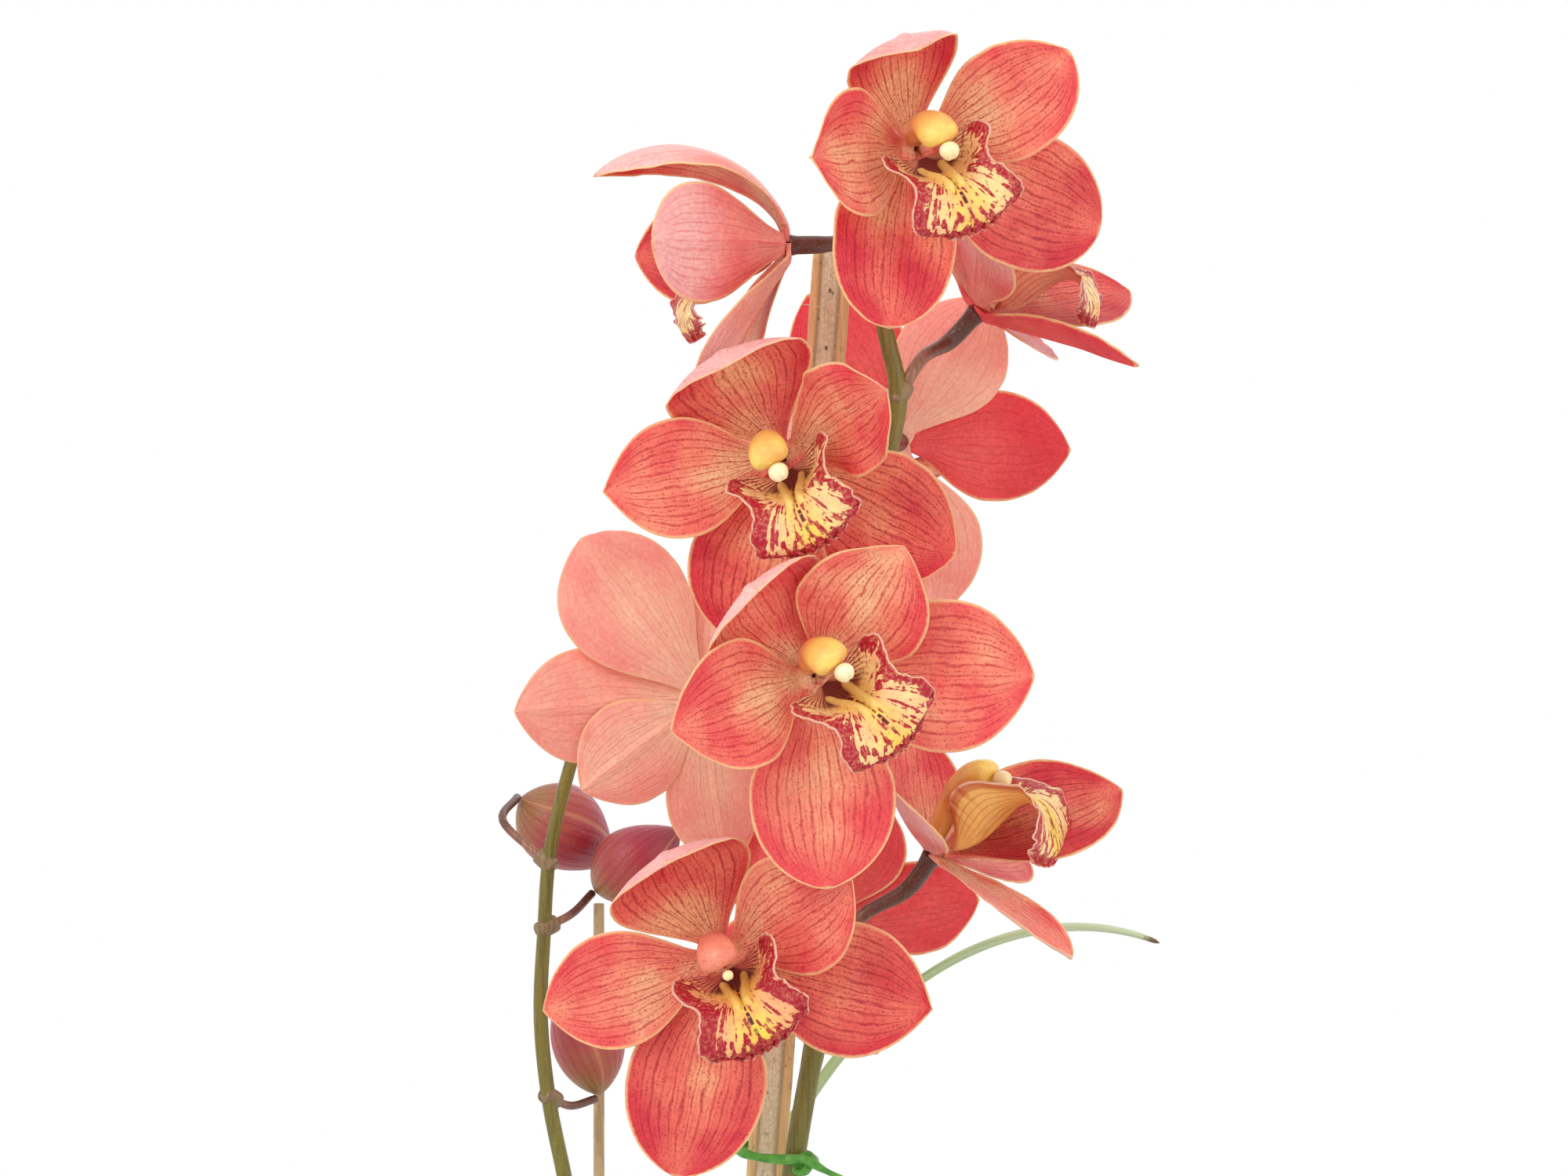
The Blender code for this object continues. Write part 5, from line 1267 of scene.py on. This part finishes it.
def bulb_profile(radius, height):
    """The bulb's outline, its radius eased between the corners except close to its two ends."""
    knots = np.linspace(0, 1, len(BULB_OUTLINE))
    x = np.linspace(0, 1, 60)
    straight, level = (np.interp(x, knots, BULB_OUTLINE[:, i]) for i in range(2))
    smooth = np.maximum(eased(x, knots, BULB_OUTLINE[:, 0]), 0)
    wide = np.where((x > 0.12) & (x < 0.9), smooth, straight)
    return np.stack([wide * radius, level * height], 1)


def ribbed(angle, radius, height):
    return 1 - 0.035 * (1 + np.cos(9 * angle + 40 * height)) * 0.5


bulb_skin = bulb_finish()
for number, (place, radius, height) in enumerate(BULBS, 1):
    outline = bulb_profile(radius, height)
    bulb = add_turned(f"pseudobulb_{number}_body", outline, bulb_skin, 72, place, ribbed)
    stand(bulb, f"pseudobulb_{number}", slot="bulb")


def leaf_sheet(leaf, seed):
    """A leaf's surface: its middle line leaves the bulb's neck at the rise angle and bends over by
    the droop angle; across it is a shallow V whose edges stand above the middle line."""
    (x, y, z), _, height = BULBS[leaf["bulb"]]
    rows, columns, steps = 130, 19, 240
    share = np.linspace(0, 1, steps + 1)
    slope = np.radians(leaf["rise"] - leaf["droop"] * share ** leaf["late"])
    heading = np.radians(leaf["heading"] + leaf["veer"] * step_up(share, 0.60, 0.75))
    level = np.cos(slope)
    forward = np.stack([level * np.cos(heading), level * np.sin(heading), np.sin(slope)], axis=1)
    midway = 0.5 * (forward[1:] + forward[:-1])
    line = np.vstack([np.zeros(3), np.cumsum(midway, axis=0) * leaf["length"] / steps])
    first = np.array([math.cos(heading[0]), math.sin(heading[0]), 0.0])
    line += np.array([x, y, z + 0.57 * height + LEAF_GAP]) + first * LEAF_ASIDE
    t, s = np.meshgrid(1 - (1 - np.linspace(0, 1, rows)) ** 1.2, np.linspace(-1, 1, columns), indexing="ij")
    middle = np.stack([np.interp(t, share, line[:, i]) for i in range(3)], axis=-1)
    slope, heading = np.interp(t, share, slope), np.interp(t, share, heading)
    aside = np.stack([-np.sin(heading), np.cos(heading), 0 * heading], axis=-1)
    normal = np.stack([-np.sin(slope) * np.cos(heading), -np.sin(slope) * np.sin(heading),
                       np.cos(slope)], axis=-1)
    half = 0.5 * leaf["width"] * np.minimum(1.0, 0.45 + 1.3 * t) * np.sqrt(np.clip(1 - t**5, 0, 1))
    lean = wander((rows, 1), seed, 20) * 0.10
    fold = 0.30 * half * (np.sqrt(s**2 + 0.02) - 0.14) / 0.87 + lean * half * s
    points = middle + (half * s)[..., None] * aside + fold[..., None] * normal
    rim = np.minimum(half * (1 - np.abs(s)), (1 - t) * leaf["length"]) / MM
    thickness = 0.0006 + 0.0007 * np.exp(-((s / 0.12) ** 2)) + 0.0008 * np.clip(0.05 - t, 0, 1) / 0.05
    return points, np.minimum(thickness, 0.0002 + half), {"along": t, "across": s, "rim": np.maximum(rim, 0)}


green_leaf = leaf_finish("leaf_green", (0.045, 0.12, 0.018), (0.11, 0.22, 0.035), (0.17, 0.24, 0.05))
# painted highlight: leaf 7 wears a paler, yellower copy of the leaf green, as if lit where it arches into the
# light
highlit_leaf = leaf_finish("leaf_painted_highlight", (0.30, 0.42, 0.13), (0.50, 0.60, 0.26), (0.72, 0.82, 0.55))
LEAF_SKINS = {7: highlit_leaf}
for number, leaf in enumerate(LEAVES, 1):
    points, thickness, marks = leaf_sheet(leaf, SEED + 60 + number)
    leaf_skin = LEAF_SKINS.get(number, green_leaf)
    blade = add_sheet(f"leaf_{number}_blade", points, thickness, leaf_skin, marks)
    stand(blade, f"leaf_{number}", slot="leaf")


POT_HEIGHT, POT_RIM_RADIUS, POT_FOOT_RADIUS, POT_WALL = 0.172, 0.098, 0.069, 0.006
RIM_HEIGHT, RIM_STEP, POT_FLOOR = 0.030, 0.006, 0.008
BODY_RADIUS = POT_RIM_RADIUS - RIM_STEP
DRAIN_RADIUS, DRAIN_REACH = 0.006, 0.040
MIX_TOP, MIX_GAP = 0.152, 0.0005


def rounded(corners, radii, cuts=5):
    """A profile whose corners are rounded off: each is cut back by its radius along both sides and
    the cut bridged by a quadratic curve that starts and ends on them."""
    corners = np.array(corners, float)
    made = [corners[0]]
    for before, at, after, radius in zip(corners[:-2], corners[1:-1], corners[2:], radii[1:-1]):
        a = at + (before - at) * min(radius / np.linalg.norm(before - at), 0.48)
        b = at + (after - at) * min(radius / np.linalg.norm(after - at), 0.48)
        x = np.linspace(0, 1, cuts)[:, None]
        made.extend((1 - x) ** 2 * a + 2 * x * (1 - x) * at + x**2 * b)
    made.append(corners[-1])
    return np.array(made)


def pot_profile():
    """The pot's outline from the middle of its underside up its outside, over the rim and down its
    inside, with its long sides divided into six."""
    low_rim, chamfer = POT_HEIGHT - RIM_HEIGHT, 0.002
    corners = [(0.0, 0.0), (POT_FOOT_RADIUS, 0.0), (BODY_RADIUS, low_rim - chamfer),
               (POT_RIM_RADIUS - chamfer, low_rim), (POT_RIM_RADIUS, POT_HEIGHT - chamfer),
               (POT_RIM_RADIUS - POT_WALL - chamfer, POT_HEIGHT), (BODY_RADIUS - POT_WALL, low_rim - chamfer),
               (POT_FOOT_RADIUS - POT_WALL, POT_FLOOR), (0.0, POT_FLOOR)]
    radii = [0, 0.003, 0.0015, 0.002, 0.003, 0.003, 0.004, 0.005, 0]
    outline = rounded(corners, radii)
    made = [outline[0]]
    for before, at in zip(outline[:-1], outline[1:]):
        parts = 6 if np.linalg.norm(at - before) > 0.02 else 1
        made.extend(before + (at - before) * share for share in np.linspace(0, 1, parts + 1)[1:])
    return np.array(made)


def hand_made(angle, radius, height):
    """A thrown pot's slight out-of-round and its turning rings."""
    return 1 + 0.0015 * np.sin(2 * angle + 20 * height) + 0.0010 * np.sin(300 * height + angle)


def pierce(target, cutters):
    """Cuts the given solids out of a piece for good and removes them."""
    for tool in cutters:
        cut = target.modifiers.new("drain", "BOOLEAN")
        cut.operation = "DIFFERENCE"
        cut.object = tool
    bpy.context.view_layer.update()
    mesh = bpy.data.meshes.new_from_object(target.evaluated_get(bpy.context.evaluated_depsgraph_get()))
    target.modifiers.clear()
    target.data = mesh
    for tool in cutters:
        bpy.data.objects.remove(tool, do_unlink=True)


pot = add_turned("pot_body", pot_profile(), clay_finish(), 120, shape=hand_made)
holes = []
for turn in (90, 210, 330):
    angle = math.radians(turn)
    middle = (DRAIN_REACH * math.cos(angle), DRAIN_REACH * math.sin(angle), 0.5 * POT_FLOOR)
    bpy.ops.mesh.primitive_cylinder_add(vertices=32, radius=DRAIN_RADIUS, depth=0.03, location=middle)
    holes.append(bpy.context.object)
pierce(pot, holes)
pot.data.shade_smooth()
stand(pot, "pot", slot="clay")


def mix_level(share):
    """Height of the mix at a share of its radius: a low crown."""
    return MIX_TOP + 0.0045 - 0.007 * share**2


def add_mix(finish):
    """The mix: a turned plug that fills the pot, its top bumpy, made as rings of a profile."""
    rings, around = 60, 120
    wall = BODY_RADIUS - POT_WALL
    top, floor_top = wall - MIX_GAP, POT_FLOOR + MIX_GAP
    slope = (wall - (POT_FOOT_RADIUS - POT_WALL)) / (POT_HEIGHT - RIM_HEIGHT - 0.010)
    foot = POT_FOOT_RADIUS - POT_WALL - MIX_GAP + slope * MIX_GAP
    ring = np.linspace(0, top - 0.003, rings)
    sides = [(top, MIX_TOP - 0.010), (foot, floor_top), (0.0, floor_top)]
    profile = np.concatenate([np.stack([ring, mix_level(ring / top)], 1), sides])
    angle = np.linspace(0, 2 * np.pi, around, endpoint=False)
    r, z = np.broadcast_arrays(profile[:, :1], profile[:, 1:] + 0 * angle)
    bumps = wander((rings, around), SEED + 9, 3) * 0.0016 * step_up(ring, 0, 0.02)[:, None]
    z = z + np.concatenate([bumps, np.zeros((len(sides), around))])
    points = np.stack([r * np.cos(angle), r * np.sin(angle), z], -1)
    tone = np.full(points.shape[:2], 0.25)
    faces = grid_quads(len(profile), around, closed=True)
    return add_mesh("potting_mix_body", points, faces, finish, {"kind": tone}, merge=POLE_MERGE)


# Where the stem, the stake, the second spike and its cane enter the mix, and the room each keeps
CHIP_CLEAR = [(0.006, -0.002, 0.008), (-0.008, 0.009, 0.010), (-0.019, 0.050, 0.007),
              (-0.0295, 0.0725, 0.006)]


def rotated(first, second, angle):
    """Two coordinates of each chip's points, turned by that chip's angle."""
    cos, sin = np.cos(angle)[:, None], np.sin(angle)[:, None]
    return first * cos - second * sin, first * sin + second * cos


def add_chips(name, count, seed, finish):
    """Bark chips: one rough slab, three rings of seven points between two ends, scaled, turned and
    laid on the mix once for each chip, keeping clear of the bulbs, stake and stems."""
    around = 7
    rng = np.random.default_rng(seed)
    lat = np.array([0.0, 0.75, 1.0, 0.72, 0.0])[:, None]
    lift = np.array([-0.5, -0.42, 0.0, 0.40, 0.5])[:, None]
    lon = np.linspace(0, 2 * np.pi, around, endpoint=False)[None, :]
    slab = np.stack([lat * np.cos(lon), lat * np.sin(lon), lift + 0 * lon], -1).reshape(-1, 3)
    faces = grid_quads(len(lat), around, closed=True)
    reach = BODY_RADIUS - POT_WALL - 0.008
    spots = rng.uniform(-reach, reach, (6 * count, 2))
    clear = np.hypot(spots[:, 0], spots[:, 1]) < reach
    for (x, y, _), radius, _ in BULBS:
        clear &= np.hypot(spots[:, 0] - x, spots[:, 1] - y) > radius + 0.002
    for x, y, gap in CHIP_CLEAR:
        clear &= np.hypot(spots[:, 0] - x, spots[:, 1] - y) > gap
    spots = spots[clear][:count]
    count = len(spots)
    size = np.stack([rng.uniform(0.004, 0.010, count), rng.uniform(0.0028, 0.0062, count),
                     rng.uniform(0.0022, 0.0046, count)], 1)
    turn = rng.uniform(0, 2 * np.pi, count)
    tip, lean = rng.normal(0, 0.35, count), rng.normal(0, 0.35, count)
    shaped = slab[None] * size[:, None] * (1 + rng.normal(0, 0.13, (count, len(slab), 1)))
    shaped[:, :around] = shaped[:, :1]
    shaped[:, -around:] = shaped[:, -1:]
    y, z = rotated(shaped[..., 1], shaped[..., 2], tip)
    z, x = rotated(z, shaped[..., 0], lean)
    x, y = rotated(x, y, turn)
    away = np.hypot(spots[:, 0], spots[:, 1]) / reach
    level = mix_level(away) + rng.uniform(-0.0006, 0.0028, count)
    points = np.stack([x + spots[:, :1], y + spots[:, 1:], z + level[:, None]], -1)
    faces = (faces[None] + len(slab) * np.arange(count)[:, None, None]).reshape(-1, 4)
    tone = np.repeat(rng.uniform(0, 1, count), len(slab))
    made = add_mesh(name, points.reshape(-1, 3), faces, finish, {"kind": tone})
    made.data.shade_flat()
    return made


CHIPS = 620
bark = bark_finish("bark_mix", (0.030, 0.016, 0.010), (0.11, 0.055, 0.030), (0.26, 0.15, 0.085))
stand(add_mix(bark), "potting_mix", slot="bark")
stand(add_chips("bark_chips", CHIPS, SEED + 11, bark), "potting_mix", slot="bark")


# ---- Floor, light and camera

bpy.ops.mesh.primitive_circle_add(vertices=128, radius=3.4, fill_type="NGON", location=(0, 0, -0.0002))
floor = bpy.context.object
floor.name = "floor"
floor.data.materials.append(floor_finish())

world = bpy.data.worlds.new("studio_white")
bpy.context.scene.world = world
world.use_nodes = True
world.node_tree.nodes["Background"].inputs["Color"].default_value = (1.0, 1.0, 1.0, 1.0)
world.node_tree.nodes["Background"].inputs["Strength"].default_value = 1.0


def add_light(name, place, target, size, power):
    """A square lamp at a place, turned to face a target."""
    lamp = bpy.data.lights.new(name, "AREA")
    lamp.size = size
    lamp.energy = power
    made = bpy.data.objects.new(name, lamp)
    made.location = place
    x, y, z = np.array(target) - np.array(place)
    made.rotation_euler = (math.atan2(math.hypot(x, y), -z), 0.0, math.atan2(y, x) - math.pi / 2)
    bpy.context.scene.collection.objects.link(made)


add_light("key", (-0.9, -1.3, 1.7), (0.02, 0.0, 0.65), 0.7, 9.0)
add_light("fill", (1.3, -1.0, 0.9), (0.02, 0.0, 0.6), 1.0, 3.0)
add_light("back", (0.4, 1.6, 1.4), (0.02, 0.0, 0.65), 1.0, 3.0)

lens = bpy.data.cameras.new("camera")
lens.lens = 100
lens.sensor_width = 36
lens.clip_start = 0.05
camera = bpy.data.objects.new("camera", lens)
camera.location = (0.022, -1.14, 0.65)
camera.rotation_euler = (math.pi / 2, 0.0, 0.0)
bpy.context.scene.collection.objects.link(camera)
bpy.context.scene.camera = camera
bpy.context.scene.view_settings.view_transform = "Standard"
